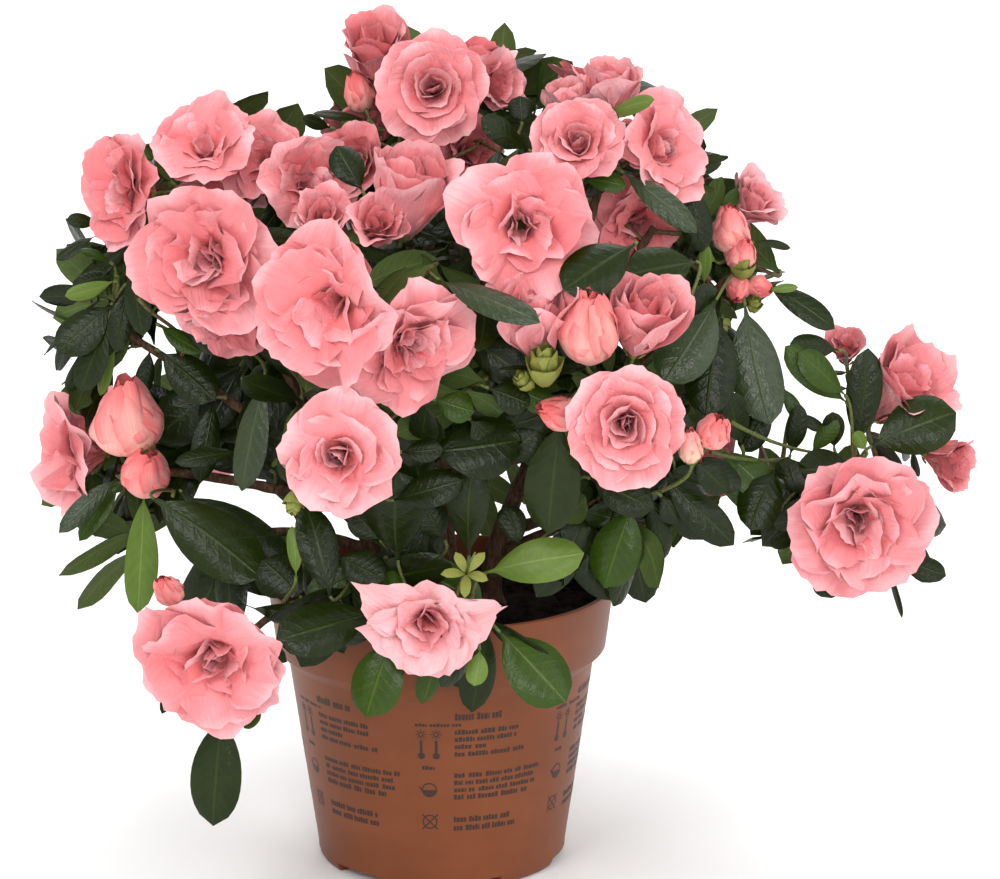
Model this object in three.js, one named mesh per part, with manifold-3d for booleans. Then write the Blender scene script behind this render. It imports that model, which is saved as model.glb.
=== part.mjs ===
// Potted azalea shrub (Rhododendron simsii type, double flowers) in a tapered plastic nursery pot.
// Frame: millimetres, +Z up, origin at the centre of the pot's flat underside, the plant's front faces -Y.
// One node for the pot, one for the root ball, four stems rising from the root ball, one tapering bough for
// each mass of leaf and flower, and the masses themselves as closed uneven solids.
import * as THREE from "three";
import { mergeVertices } from "three/addons/utils/BufferGeometryUtils.js";
import Module from "manifold-3d";

const wasm = await Module();
wasm.setup();

// ---------------------------------------------------------------- driving dimensions (mm)
const POT = {
  rimR: 60, // outer radius at the top of the rim band
  height: 98.6,
  bandFootR: 57.3, // outer radius at the bottom of the rim band
  bandFootZ: 76.2,
  neckR: 53.2, // outer radius just under the band
  neckZ: 72.2,
  footR: 43.4, // outer radius where the wall meets the rounded foot
  footZ: 5.0,
  baseR: 41.0, // radius of the standing face
  wall: 1.3,
  floor: 4.4,
  sides: 36,
};
const FEET = { count: 6, notchDeg: 25, notchH: 3.0, notchInR: 30, holeR: 3.0, firstDeg: -73.5 };
const SOIL = { top: 92.0, drop: 0.9, gap: 0.5, flatR: 30 };
const GAP = 0.35; // clearance kept between neighbouring solids
const VOID = { centre: [0, 4, 165], radius: 36 }; // open inside of the shrub, where the boughs run

// Stems: foot on the root ball, knee, and top, with radii at foot and top. The foot flares by FLARE.
const FLARE = 1.55;
const STEM_RINGS = 7,
  STEM_SIDES = 8,
  BOUGH_RINGS = 4,
  BOUGH_SIDES = 5;
const STEMS = [
  { name: "stem_centre", foot: [1, -2], knee: [-3, -4, 122], top: [-4, -8, 186], r0: 4.2, r1: 2.3 },
  { name: "stem_left", foot: [-13, -5], knee: [-22, -12, 112], top: [-40, -16, 150], r0: 3.8, r1: 2.2 },
  { name: "stem_right", foot: [17, -7], knee: [20, -12, 116], top: [34, -10, 152], r0: 3.9, r1: 2.2 },
  { name: "stem_back", foot: [2, 15], knee: [1, 26, 118], top: [3, 46, 160], r0: 3.8, r1: 2.2 },
];
// Boughs: the stem they leave, how far up it (0 to 1), the mass they carry, rise of the bend, and end radii.
const BOUGHS = [
  ["stem_left", 0.34, "mass_low_left", 10, 2.0, 1.3],
  ["stem_left", 0.62, "mass_side_left", 6, 2.1, 1.3],
  ["stem_left", 0.8, "mass_shoulder_left", 4, 2.0, 1.2],
  ["stem_left", 0.97, "mass_crown_left", 8, 2.2, 1.4],
  ["stem_left", 0.5, "mass_front_low", 6, 1.9, 1.2],
  ["stem_centre", 0.98, "mass_top", 12, 2.2, 1.3],
  ["stem_centre", 0.9, "mass_upper_mid", 8, 1.8, 1.2],
  ["stem_centre", 0.7, "mass_front_left", 8, 2.0, 1.3],
  ["stem_centre", 0.8, "mass_bloom_mid", 8, 2.0, 1.3],
  ["stem_centre", 0.36, "mass_leaves_front", 6, 1.8, 1.2],
  ["stem_right", 0.97, "mass_upper_right", 8, 2.1, 1.3],
  ["stem_right", 0.72, "mass_shoulder_right", 6, 2.1, 1.3],
  ["stem_right", 0.86, "mass_top_right", 10, 2.0, 1.3],
  ["stem_right", 0.58, "mass_front_right", 4, 2.0, 1.2],
  ["stem_right", 0.3, "mass_leaves_right", 4, 1.9, 1.2],
  ["stem_right", 0.44, "mass_far_right", 9, 2.1, 1.4],
  ["stem_back", 0.98, "mass_back_top", 6, 2.0, 1.3],
  ["stem_back", 0.8, "mass_back_left", 6, 2.0, 1.3],
  ["stem_back", 0.86, "mass_back_right", 6, 2.0, 1.3],
  ["stem_back", 0.9, "mass_back_mid", 2, 2.0, 1.3],
  ["stem_back", 0.45, "mass_back_low_left", 4, 1.9, 1.2],
  ["stem_back", 0.5, "mass_back_low_right", 4, 1.9, 1.2],
  ["stem_back", 0.6, "mass_back_low", 2, 1.9, 1.2],
  ["stem_centre", 0.2, "mass_front_skirt", 12, 1.7, 1.1],
  ["stem_left", 0.12, "mass_leaves_rim", 8, 1.7, 1.1],
  ["stem_left", 0.2, "mass_bloom_low_left", 16, 1.7, 1.1],
];
// Masses: a core, and the lobes (centre and radius) of the flowers and leaf sprays that the mass is made of.
const MASSES = [
  { name: "mass_crown_left", core: [-82, -15, 234], detail: 3,
    lobes: [[-104, -12, 239, 10.7], [-109, -5, 222, 13.6], [-80, 5, 253, 12.2], [-76, -48, 234, 27], [-70, -50, 206, 19], [-63, 8, 245, 10.3], [-45, -15, 243, 14.6], [-112, 8, 244, 3.5], [-94, -30, 194, 12], [-107, -12, 227, 13], [-70, 6, 254, 5.9], [-98, 0, 250, 6.4], [-68, -48, 197, 9]] },
  { name: "mass_shoulder_left", core: [-117, 8, 190], detail: 2,
    lobes: [[-124, 4, 215, 3.5], [-121, 2, 200, 6.6], [-127, 4, 181, 5.5], [-120, 6, 171, 10], [-107, 4, 187, 15], [-115, 12, 163, 9], [-109, 8, 205, 13]] },
  { name: "mass_side_left", core: [-112, 6, 137], detail: 2,
    lobes: [[-130, 12, 141, 12.6], [-122, 14, 118, 6.7], [-107, -10, 160, 16], [-101, -14, 140, 11.4], [-127, -10, 123, 3.8], [-108, -4, 107, 7.4], [-105, -4, 92, 5], [-87, 4, 148, 14]] },
  { name: "mass_low_left", core: [-71, -38, 124], detail: 2,
    lobes: [[-88, -44, 132, 14], [-75, -48, 125, 18], [-59, -36, 116, 16], [-66, -26, 134, 14], [-43, -44, 132, 9]] },
  { name: "mass_bloom_low_left", core: [-74, -84, 93], detail: 2,
    lobes: [[-73, -92, 100, 16.6], [-84, -86, 108, 14], [-62, -80, 101, 12.5], [-73, -80, 61, 10.0], [-76, -78, 42, 6.0], [-89, -80, 82, 3.5]] },
  { name: "mass_front_left", core: [-28, -70, 214], detail: 2,
    lobes: [[-37, -88, 221, 26], [-34, -88, 203, 20], [-10, -86, 202, 26], [-9, -60, 228, 16], [-39, -52, 237, 12], [8, -78, 202, 9], [-48, -60, 228, 14]] },
  { name: "mass_front_low", core: [-32, -78, 169], detail: 2,
    lobes: [[-33, -96, 172, 23], [-45, -82, 160, 13], [-21, -84, 160, 15], [-32, -78, 184, 12]] },
  { name: "mass_leaves_front", core: [8, -58, 154], detail: 2,
    lobes: [[-3, -70, 161, 15], [11, -68, 171, 16], [-13, -62, 141, 15], [11, -72, 143, 13], [25, -58, 158, 13], [6, -58, 175, 12], [-5, -50, 130, 12], [24, -54, 178, 11], [20, -56, 190, 9]] },
  { name: "mass_top", core: [-3, 4, 269], detail: 2,
    lobes: [[-3, -4, 274, 15.9], [-23, 16, 280, 8.2], [-28, 12, 267, 5.5], [18, 16, 269, 4.9], [10, 6, 249, 13], [-36, 8, 258, 3.5], [27, 2, 261, 9.5], [-12, 10, 283, 7.1], [-12, 8, 282, 7.8], [-20, 14, 282, 7.5]] },
  { name: "mass_upper_mid", core: [-14, -22, 245], detail: 2,
    lobes: [[-9, -38, 246, 18], [-27, -8, 248, 14], [-31, -20, 237, 12], [-48, 14, 251, 3.5]] },
  { name: "mass_bloom_mid", core: [28, -48, 234], detail: 2,
    lobes: [[28, -72, 240, 26], [44, -62, 234, 15], [11, -58, 239, 15], [51, -66, 222, 13], [17, -66, 213, 13], [29, -58, 219, 16]] },
  { name: "mass_top_right", core: [60, -4, 258], detail: 2,
    lobes: [[48, -26, 258, 18], [73, -14, 253, 11.7], [43, 6, 267, 5.9], [58, 6, 271, 9.1], [34, 0, 263, 6.2], [68, 0, 263, 5.1]] },
  { name: "mass_upper_right", core: [73, -2, 224], detail: 2,
    lobes: [[66, 2, 225, 17], [77, -18, 215, 14], [79, -12, 234, 12], [89, 4, 227, 9.1]] },
  { name: "mass_shoulder_right", core: [104, 12, 207], detail: 3,
    lobes: [[107, 20, 229, 9.8], [101, 6, 221, 7.9], [103, 2, 211, 6.2], [104, 2, 202, 7], [123, 2, 198, 5.9], [131, 2, 191, 4.5], [113, 14, 214, 3.5], [112, -2, 178, 13], [85, -12, 185, 15], [95, -4, 171, 13], [113, -2, 161, 6], [109, -8, 155, 7]] },
  { name: "mass_front_right", core: [53, -62, 188], detail: 2,
    lobes: [[31, -80, 208, 13], [50, -82, 205, 14], [66, -76, 207, 15], [65, -68, 218, 8], [60, -96, 178, 22], [71, -80, 169, 12], [39, -70, 180, 10], [87, -62, 166, 7], [57, -70, 217, 9]] },
  { name: "mass_leaves_right", core: [68, -44, 137], detail: 2,
    lobes: [[40, -58, 150, 13], [42, -56, 137, 10], [60, -56, 135, 13], [60, -54, 121, 8.1], [84, -44, 143, 8.0], [94, -40, 129, 5.8], [73, -38, 122, 4.8], [71, -44, 146, 14]] },
  { name: "mass_far_right", core: [152, 6, 139], detail: 3,
    lobes: [[141, -30, 130, 22.5], [159, -22, 119, 13.3], [161, 18, 166, 9.9], [173, 20, 169, 4.3], [142, 22, 177, 6.4], [177, 14, 138, 3.9], [146, 6, 162, 11], [164, -2, 153, 13], [130, 10, 171, 9], [115, -14, 131, 9], [133, -22, 105, 7], [171, -16, 107, 3.5], [156, -16, 96, 3.5], [131, 8, 150, 9], [104, -16, 141, 7], [114, -14, 129, 9], [120, -10, 147, 6]] },
  { name: "mass_front_skirt", core: [1, -84, 104], detail: 2,
    lobes: [[-2, -90, 107, 20], [-15, -82, 113, 10], [24, -84, 109, 11], [1, -84, 91, 8], [-19, -76, 86, 9], [-22, -74, 76, 5], [32, -78, 92, 10], [42, -76, 81, 5]] },
  { name: "mass_leaves_rim", core: [0, -52, 118], detail: 2,
    lobes: [[-13, -58, 118, 9], [32, -56, 122, 11], [20, -54, 121, 12], [-37, -48, 119, 12], [9, -60, 121, 9], [-39, -74, 104, 10], [-26, -66, 111, 10], [41, -54, 125, 8]] },
  { name: "mass_back_top", core: [5, 48, 248], detail: 2,
    lobes: [[5, 45, 262, 20], [-25, 60, 245, 20], [32, 58, 248, 20], [5, 75, 235, 20]] },
  { name: "mass_back_left", core: [-72, 62, 212], detail: 2,
    lobes: [[-88, 60, 218, 24], [-60, 70, 238, 20], [-70, 88, 200, 22], [-100, 40, 200, 16], [-50, 95, 222, 18]] },
  { name: "mass_back_right", core: [74, 66, 206], detail: 2,
    lobes: [[84, 62, 216, 20], [56, 76, 232, 20], [78, 92, 196, 22], [98, 50, 192, 15], [50, 98, 214, 18]] },
  { name: "mass_back_mid", core: [2, 98, 188], detail: 2,
    lobes: [[0, 104, 205, 24], [-28, 108, 182, 20], [30, 108, 180, 20], [0, 118, 172, 20]] },
  { name: "mass_back_low_left", core: [-72, 72, 136], detail: 2,
    lobes: [[-86, 66, 142, 22], [-62, 92, 140, 22], [-96, 50, 128, 14], [-66, 86, 116, 16], [-104, 72, 150, 12]] },
  { name: "mass_back_low_right", core: [76, 74, 132], detail: 2,
    lobes: [[86, 66, 140, 20], [62, 92, 138, 22], [98, 54, 130, 14], [74, 88, 112, 14]] },
  { name: "mass_back_low", core: [2, 104, 128], detail: 2,
    lobes: [[0, 108, 136, 22], [-28, 106, 122, 16], [30, 106, 120, 16], [2, 112, 108, 14]] },
];
const UNEVEN = 0.04; // share by which a mass's skin wanders in and out
const FALL = 0.26; // how quickly the skin falls away beside a lobe, in radians

const COLOURS = { pot: 0x9a5f42, soil: 0x1d1512, wood: 0x5a3a2a, leaf: 0x2c4a26, flower: 0xf39aa0 };
const material = (hex, roughness) => new THREE.MeshStandardMaterial({ color: hex, roughness, metalness: 0 });
const potMat = material(COLOURS.pot, 0.45),
  soilMat = material(COLOURS.soil, 0.95),
  woodMat = material(COLOURS.wood, 0.8),
  leafMat = material(COLOURS.leaf, 0.5),
  flowerMat = material(COLOURS.flower, 0.6);

// ---------------------------------------------------------------- helpers
const V = (a) => new THREE.Vector3(a[0], a[1], a[2]);
function rand(seed) {
  let s = seed >>> 0;
  return () => {
    s = (s + 0x6d2b79f5) >>> 0;
    let t = Math.imul(s ^ (s >>> 15), 1 | s);
    t = (t + Math.imul(t ^ (t >>> 7), 61 | t)) ^ t;
    return ((t ^ (t >>> 14)) >>> 0) / 4294967296;
  };
}
function toSolid(geometry) {
  const g = geometry.clone();
  for (const k of Object.keys(g.attributes)) if (k !== "position") g.deleteAttribute(k);
  const m = mergeVertices(g, 1e-4);
  return new wasm.Manifold(
    new wasm.Mesh({ numProp: 3, vertProperties: m.attributes.position.array, triVerts: new Uint32Array(m.index.array) }),
  );
}
function toGeometry(solid) {
  const m = solid.getMesh(),
    n = m.numProp,
    v = new Float32Array(m.numVert * 3);
  for (let i = 0; i < m.numVert; i++) v.set(m.vertProperties.subarray(i * n, i * n + 3), i * 3);
  const g = new THREE.BufferGeometry()
    .setAttribute("position", new THREE.BufferAttribute(v, 3))
    .setIndex(new THREE.BufferAttribute(new Uint32Array(m.triVerts), 1));
  g.computeVertexNormals();
  return g;
}
const largest = (solid) => solid.decompose().sort((a, b) => b.volume() - a.volume())[0];

// A closed tube along a curve whose radius follows radiusAt(t), with flat ends.
function tube(curve, radiusAt, rings, sides) {
  const frames = curve.computeFrenetFrames(rings, false);
  const pos = [],
    idx = [];
  for (let i = 0; i <= rings; i++) {
    const t = i / rings,
      p = curve.getPointAt(t),
      r = radiusAt(t);
    for (let k = 0; k < sides; k++) {
      const a = (2 * Math.PI * k) / sides;
      const q = p
        .clone()
        .addScaledVector(frames.normals[i], Math.cos(a) * r)
        .addScaledVector(frames.binormals[i], Math.sin(a) * r);
      pos.push(q.x, q.y, q.z);
    }
  }
  const a0 = pos.length / 3;
  const p0 = curve.getPointAt(0),
    p1 = curve.getPointAt(1);
  pos.push(p0.x, p0.y, p0.z, p1.x, p1.y, p1.z);
  for (let i = 0; i < rings; i++)
    for (let k = 0; k < sides; k++) {
      const a = i * sides + k,
        b = i * sides + ((k + 1) % sides),
        c = a + sides,
        d = b + sides;
      idx.push(a, b, d, a, d, c);
    }
  for (let k = 0; k < sides; k++) {
    idx.push(a0, (k + 1) % sides, k);
    idx.push(a0 + 1, rings * sides + k, rings * sides + ((k + 1) % sides));
  }
  const g = new THREE.BufferGeometry().setAttribute("position", new THREE.Float32BufferAttribute(pos, 3)).setIndex(idx);
  const s = toSolid(g);
  if (s.volume() > 0) return g;
  for (let i = 0; i < idx.length; i += 3) [idx[i + 1], idx[i + 2]] = [idx[i + 2], idx[i + 1]];
  return g.setIndex(idx);
}

// ---------------------------------------------------------------- pot
const lathe = (profile, sides) => {
  const g = new THREE.LatheGeometry(profile.map(([r, z]) => new THREE.Vector2(r, z)), sides);
  g.rotateX(Math.PI / 2); // the lathe turns about Y; stand it on Z
  const s = toSolid(g);
  if (s.volume() > 0) return s;
  const i = g.index.array;
  for (let k = 0; k < i.length; k += 3) [i[k + 1], i[k + 2]] = [i[k + 2], i[k + 1]];
  return toSolid(g);
};
const P = POT;
const outer = [
  [0, 0],
  [P.baseR, 0],
  [P.footR - 0.5, 2.0],
  [P.footR, P.footZ],
  [P.neckR, P.neckZ],
  [P.bandFootR, P.bandFootZ],
  [P.rimR - 0.2, P.height - 2.2],
  [P.rimR, P.height - 0.8],
  [P.rimR - 0.6, P.height],
];
const inner = [
  [P.rimR - 1.7, P.height],
  [P.rimR - P.wall - 0.9, P.height - 2.2],
  [P.bandFootR - P.wall, P.bandFootZ + 0.8],
  [P.neckR - P.wall, P.neckZ + 0.4],
  [P.footR - P.wall, P.footZ + P.floor - 2],
  [P.footR - P.wall - 2.5, P.floor],
  [0, P.floor],
];
let pot = lathe([...outer, ...inner], P.sides);
for (let i = 0; i < FEET.count; i++) {
  const mid = THREE.MathUtils.degToRad(FEET.firstDeg + (360 / FEET.count) * i),
    half = THREE.MathUtils.degToRad(FEET.notchDeg / 2);
  const wedge = new THREE.Shape();
  const R = P.footR + 4;
  wedge.moveTo(Math.cos(mid - half) * FEET.notchInR, Math.sin(mid - half) * FEET.notchInR);
  for (let k = 0; k <= 4; k++) {
    const a = mid - half + (2 * half * k) / 4;
    wedge.lineTo(Math.cos(a) * R, Math.sin(a) * R);
  }
  wedge.lineTo(Math.cos(mid + half) * FEET.notchInR, Math.sin(mid + half) * FEET.notchInR);
  wedge.closePath();
  const cut = new THREE.ExtrudeGeometry(wedge, { depth: FEET.notchH + 2, bevelEnabled: false });
  cut.translate(0, 0, -2);
  pot = pot.subtract(toSolid(cut));
  const hole = new THREE.CylinderGeometry(FEET.holeR, FEET.holeR, P.floor * 3, 12);
  hole.rotateX(Math.PI / 2);
  hole.translate(Math.cos(mid) * (FEET.notchInR + 5), Math.sin(mid) * (FEET.notchInR + 5), P.floor);
  pot = pot.subtract(toSolid(hole));
}

// ---------------------------------------------------------------- root ball
const innerRadius = (z) => {
  const pts = [...inner].reverse();
  for (let i = 1; i < pts.length; i++)
    if (z <= pts[i][1] && pts[i][1] > pts[i - 1][1])
      return THREE.MathUtils.mapLinear(z, pts[i - 1][1], pts[i][1], pts[i - 1][0], pts[i][0]);
  return P.rimR - P.wall;
};
const g = SOIL.gap;
const soil = lathe(
  [
    [0, P.floor + g],
    [P.footR - P.wall - 3.0, P.floor + g],
    [P.neckR - P.wall - g, P.neckZ + 1.2],
    [P.bandFootR - P.wall - g - 0.3, P.bandFootZ + 1.8],
    [innerRadius(SOIL.top - SOIL.drop) - g - 0.2, SOIL.top - SOIL.drop],
    [SOIL.flatR, SOIL.top],
    [0, SOIL.top],
  ],
  P.sides,
);

// ---------------------------------------------------------------- stems
const stemCurves = new Map();
const stemSolids = new Map();
const stemGrown = new Map();
for (const s of STEMS) {
  const z0 = SOIL.top + GAP;
  const foot = new THREE.Vector3(s.foot[0], s.foot[1], z0);
  const first = new THREE.Vector3(s.foot[0], s.foot[1], z0 + 5); // leaves the ground upright, so its foot is a flat cut
  const curve = new THREE.CatmullRomCurve3([foot, first, V(s.knee), V(s.top)], false, "centripetal");
  stemCurves.set(s.name, curve);
  const radius = (grow) => (t) => {
    const taper = THREE.MathUtils.lerp(s.r0, s.r1, t);
    return taper * (1 + (FLARE - 1) * Math.exp(-t / 0.05)) + grow;
  };
  const flat = (geometry) => {
    // the foot ring lies level on the root ball
    const a = geometry.attributes.position;
    for (let i = 0; i < STEM_SIDES; i++) a.setZ(i, z0);
    a.setZ(a.count - 2, z0);
    return geometry;
  };
  stemSolids.set(s.name, toSolid(flat(tube(curve, radius(0), STEM_RINGS, STEM_SIDES))));
  stemGrown.set(s.name, toSolid(tube(curve, radius(GAP), STEM_RINGS, STEM_SIDES)));
}

// ---------------------------------------------------------------- masses
const potKeepOut = (p, margin) => {
  // inside the pot, its band or the root ball, grown by margin
  if (p.z > P.height + margin) return false;
  const r = Math.hypot(p.x, p.y);
  const wall =
    p.z > P.bandFootZ - 2
      ? P.rimR
      : p.z > P.footZ
        ? THREE.MathUtils.mapLinear(p.z, P.footZ, P.neckZ, P.footR, P.neckR)
        : P.footR;
  return r < wall + margin;
};
function directions(detail, lobes, core) {
  const g0 = new THREE.IcosahedronGeometry(1, detail);
  for (const k of ["normal", "uv"]) g0.deleteAttribute(k);
  const g1 = mergeVertices(g0, 1e-4);
  const a = g1.attributes.position;
  const taken = new Set();
  // turn the nearest corner onto each lobe, so that the skin reaches it
  for (const l of lobes) {
    const d = V(l).sub(core);
    if (d.length() < 6) continue;
    d.normalize();
    let best = -1,
      dot = -2;
    for (let i = 0; i < a.count; i++) {
      const x = a.getX(i) * d.x + a.getY(i) * d.y + a.getZ(i) * d.z;
      if (x > dot && !taken.has(i)) [best, dot] = [i, x];
    }
    if (dot > 0.94) {
      taken.add(best);
      a.setXYZ(best, d.x, d.y, d.z);
    }
  }
  return g1;
}
function skin(lobes, core, d) {
  let r = 5;
  for (const l of lobes) {
    const c = V(l).sub(core),
      L = c.length(),
      s = l[3];
    if (L <= s * 0.6) {
      const b = c.dot(d);
      r = Math.max(r, b + Math.sqrt(Math.max(0, b * b - L * L + s * s)));
      continue;
    }
    const angle = Math.acos(THREE.MathUtils.clamp(c.dot(d) / L, -1, 1));
    const edge = Math.asin(Math.min(0.999, s / Math.max(L, s * 1.001)));
    if (angle < edge * 0.94) {
      const b = L * Math.cos(angle);
      r = Math.max(r, b + Math.sqrt(Math.max(0, b * b - L * L + s * s)));
    } else {
      const side = Math.sqrt(Math.max(L * L - s * s, (0.3 * s) ** 2)) * 0.95;
      r = Math.max(r, side * Math.exp(-(((angle - edge) / FALL) ** 2)));
    }
  }
  return r;
}
function buildMass(m, planes, grow) {
  const core = V(m.core);
  const rnd = rand(m.name.length * 7919 + Math.round(core.x * 31 + core.y * 17 + core.z));
  const g1 = directions(m.detail, m.lobes, core);
  const a = g1.attributes.position;
  const d = new THREE.Vector3();
  for (let i = 0; i < a.count; i++) {
    d.set(a.getX(i), a.getY(i), a.getZ(i)).normalize();
    let r = skin(m.lobes, core, d) * (1 + (rnd() * 2 - 1) * UNEVEN);
    for (const [n, c] of planes) {
      const nd = n.dot(d);
      if (nd > 1e-6) r = Math.min(r, (c - n.dot(core)) / nd);
    }
    // never into the pot or the root ball
    const p = new THREE.Vector3();
    for (let t = 2; t < r; t += 0.5) {
      p.copy(core).addScaledVector(d, t);
      if (potKeepOut(p, 3.0)) {
        r = Math.max(2, t - 0.5);
        break;
      }
    }
    r = Math.max(r, 2.5) + grow;
    a.setXYZ(i, core.x + d.x * r, core.y + d.y * r, core.z + d.z * r);
  }
  return toSolid(g1);
}
const centre = V(VOID.centre);
const planesOf = new Map(
  MASSES.map((m) => {
    const n = centre.clone().sub(V(m.core)).normalize();
    return [m.name, [[n, n.dot(centre) - VOID.radius]]];
  }),
);
const reach = (m, n) => Math.max(...m.lobes.map((l) => V(l).sub(V(m.core)).dot(n) + l[3] * 0.9));
let massSolids = new Map(MASSES.map((m) => [m.name, buildMass(m, planesOf.get(m.name), 0)]));
for (let i = 0; i < MASSES.length; i++)
  for (let j = i + 1; j < MASSES.length; j++) {
    const a = MASSES[i],
      b = MASSES[j];
    if (massSolids.get(a.name).intersect(massSolids.get(b.name)).volume() < 0.001) continue;
    const n = V(b.core).sub(V(a.core)),
      dist = n.length();
    n.normalize();
    const ra = Math.max(reach(a, n), 4),
      rb = Math.max(reach(b, n.clone().negate()), 4);
    const t = THREE.MathUtils.clamp(ra / (ra + rb), 0.22, 0.78) * dist;
    const at = V(a.core).addScaledVector(n, t);
    planesOf.get(a.name).push([n.clone(), n.dot(at) - GAP / 2]);
    const back = n.clone().negate();
    planesOf.get(b.name).push([back, back.dot(at) - GAP / 2]);
    massSolids.set(a.name, buildMass(a, planesOf.get(a.name), 0));
    massSolids.set(b.name, buildMass(b, planesOf.get(b.name), 0));
  }
// stems stay whole: a mass that meets one is cut round it
for (const m of MASSES)
  for (const s of STEMS) {
    const grown = stemGrown.get(s.name);
    if (massSolids.get(m.name).intersect(grown).volume() > 0.001)
      massSolids.set(m.name, largest(massSolids.get(m.name).subtract(grown)));
  }

// ---------------------------------------------------------------- boughs
const massBy = new Map(MASSES.map((m) => [m.name, m]));
const massGrown = new Map(MASSES.map((m) => [m.name, buildMass(m, planesOf.get(m.name), GAP + 0.15)]));
const boughSolids = new Map();
const boughGrown = [];
for (const [stem, along, massName, rise, r0, r1] of BOUGHS) {
  const from = stemCurves.get(stem).getPointAt(along),
    to = V(massBy.get(massName).core);
  const out = to.clone().sub(from);
  const mid = from.clone().addScaledVector(out, 0.5).add(new THREE.Vector3(0, 0, rise));
  const curve = new THREE.QuadraticBezierCurve3(from, mid, to);
  const radius = (grow) => (t) => THREE.MathUtils.lerp(r0, r1, t) + grow;
  let solid = toSolid(tube(curve, radius(0), BOUGH_RINGS, BOUGH_SIDES));
  for (const s of stemGrown.values()) solid = solid.subtract(s);
  for (const [n, s] of massGrown) if (solid.intersect(s).volume() > 0) solid = solid.subtract(s);
  for (const s of boughGrown) if (solid.intersect(s).volume() > 0) solid = solid.subtract(s);
  solid = largest(solid);
  if (!solid || solid.volume() < 5) {
    console.warn("bough to " + massName + " is lost");
    continue;
  }
  boughSolids.set(massName.replace("mass_", "bough_"), solid);
  boughGrown.push(toSolid(tube(curve, radius(GAP), BOUGH_RINGS, BOUGH_SIDES)));
}

// ---------------------------------------------------------------- assembly
const azalea = new THREE.Group();
azalea.name = "potted_azalea";
const addNode = (parent, name, solid, mat) => {
  const mesh = new THREE.Mesh(toGeometry(solid), mat);
  mesh.name = name;
  parent.add(mesh);
};
const container = new THREE.Group(),
  wood = new THREE.Group(),
  crown = new THREE.Group();
azalea.add(container, wood, crown);
addNode(container, "pot", pot, potMat);
addNode(container, "root_ball", soil, soilMat);
for (const [name, solid] of stemSolids) addNode(wood, name, solid, woodMat);
for (const [name, solid] of boughSolids) addNode(wood, name, solid, woodMat);
const leafy = ["leaves", "mass_low_left", "shoulder_left"];
for (const [name, solid] of massSolids)
  addNode(crown, name, solid, leafy.some((w) => name.includes(w)) ? leafMat : flowerMat);

export default azalea;
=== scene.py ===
import math
import bpy
import numpy as np
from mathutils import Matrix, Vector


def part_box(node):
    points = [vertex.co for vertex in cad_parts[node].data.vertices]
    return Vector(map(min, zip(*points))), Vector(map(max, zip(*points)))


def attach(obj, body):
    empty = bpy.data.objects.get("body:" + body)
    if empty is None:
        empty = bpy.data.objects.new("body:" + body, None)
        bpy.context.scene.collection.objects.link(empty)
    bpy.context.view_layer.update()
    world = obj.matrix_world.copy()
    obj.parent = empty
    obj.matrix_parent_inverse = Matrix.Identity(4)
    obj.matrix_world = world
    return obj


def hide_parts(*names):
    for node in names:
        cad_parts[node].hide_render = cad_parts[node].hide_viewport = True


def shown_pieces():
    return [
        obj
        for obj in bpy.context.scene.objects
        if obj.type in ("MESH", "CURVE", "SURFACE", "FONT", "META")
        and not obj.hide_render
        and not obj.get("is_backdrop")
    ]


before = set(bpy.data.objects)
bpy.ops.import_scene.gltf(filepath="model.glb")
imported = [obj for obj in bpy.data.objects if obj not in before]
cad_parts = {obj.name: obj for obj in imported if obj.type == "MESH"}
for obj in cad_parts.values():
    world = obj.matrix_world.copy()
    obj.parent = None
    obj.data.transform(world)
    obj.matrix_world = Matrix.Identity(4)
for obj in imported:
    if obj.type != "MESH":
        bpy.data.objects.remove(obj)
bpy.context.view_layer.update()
scene = bpy.context.scene
MM = 0.001
TAU = 2 * math.pi
GOLD = math.radians(137.508)

# ------------------------------------------------------------------ tables (millimetres and degrees)
GAPS = [  # a point on each line of sight that stays open, and how wide it is (mm)
    (("mass_crown_left", 0.293, 0.800, 0.974), 3.7),
    (("mass_top_right", 0.913, 0.769, 0.940), 4.1),
    (("mass_top_right", 1.018, 0.769, 0.977), 2.7),
    (("mass_shoulder_right", 0.706, 0.488, 0.427), 3.1),
    (("mass_shoulder_right", 0.727, 0.488, 0.267), 2.7),
    (("mass_shoulder_right", 0.821, 0.488, 0.507), 2),
    (("mass_shoulder_right", 0.837, 0.488, 0.800), 4.1),
    (("mass_shoulder_right", 0.817, 0.488, 0.697), 4.1),
    (("mass_shoulder_right", 0.802, 0.488, 0.367), 5.4),
    (("mass_shoulder_right", 0.884, 0.488, 0.697), 2.7),
    (("mass_shoulder_right", 0.758, 0.488, 0.855), 3.1),
    (("mass_shoulder_right", 0.948, 0.488, 0.347), 3.4),
    (("mass_far_right", 0.073, 0.666, 0.122), 2.7),
    (("mass_side_left", 1.028, 0.506, 0.514), 4.8),
    (("mass_side_left", 1.162, 0.506, 0.505), 4.4),
    (("mass_shoulder_left", 0.737, 0.346, 0.335), 3.7),
    (("mass_back_right", -0.454, -0.489, -0.450), 2),
    (("mass_back_right", -0.112, -0.489, -0.450), 2.4),
    (("mass_back_low_left", 1.568, -0.514, 0.306), 2),
    (("mass_back_low_right", -0.292, -0.568, 0.371), 2.7),
    (("mass_far_right", 0.031, 0.666, 0.659), 3.7),
    (("mass_far_right", 0.298, 0.666, 0.747), 4.8),
    (("mass_far_right", 0.394, 0.666, 0.619), 3.4),
    (("mass_far_right", 0.131, 0.666, 0.507), 2.7),
    (("mass_far_right", 0.193, 0.666, 0.627), 3.4),
    (("mass_side_left", 0.799, 0.506, 0.290), 3.4),
    (("mass_side_left", 0.649, 0.506, 0.269), 2.7),
    (("mass_far_right", -0.121, 0.666, 0.143), 4.8),
]
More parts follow.
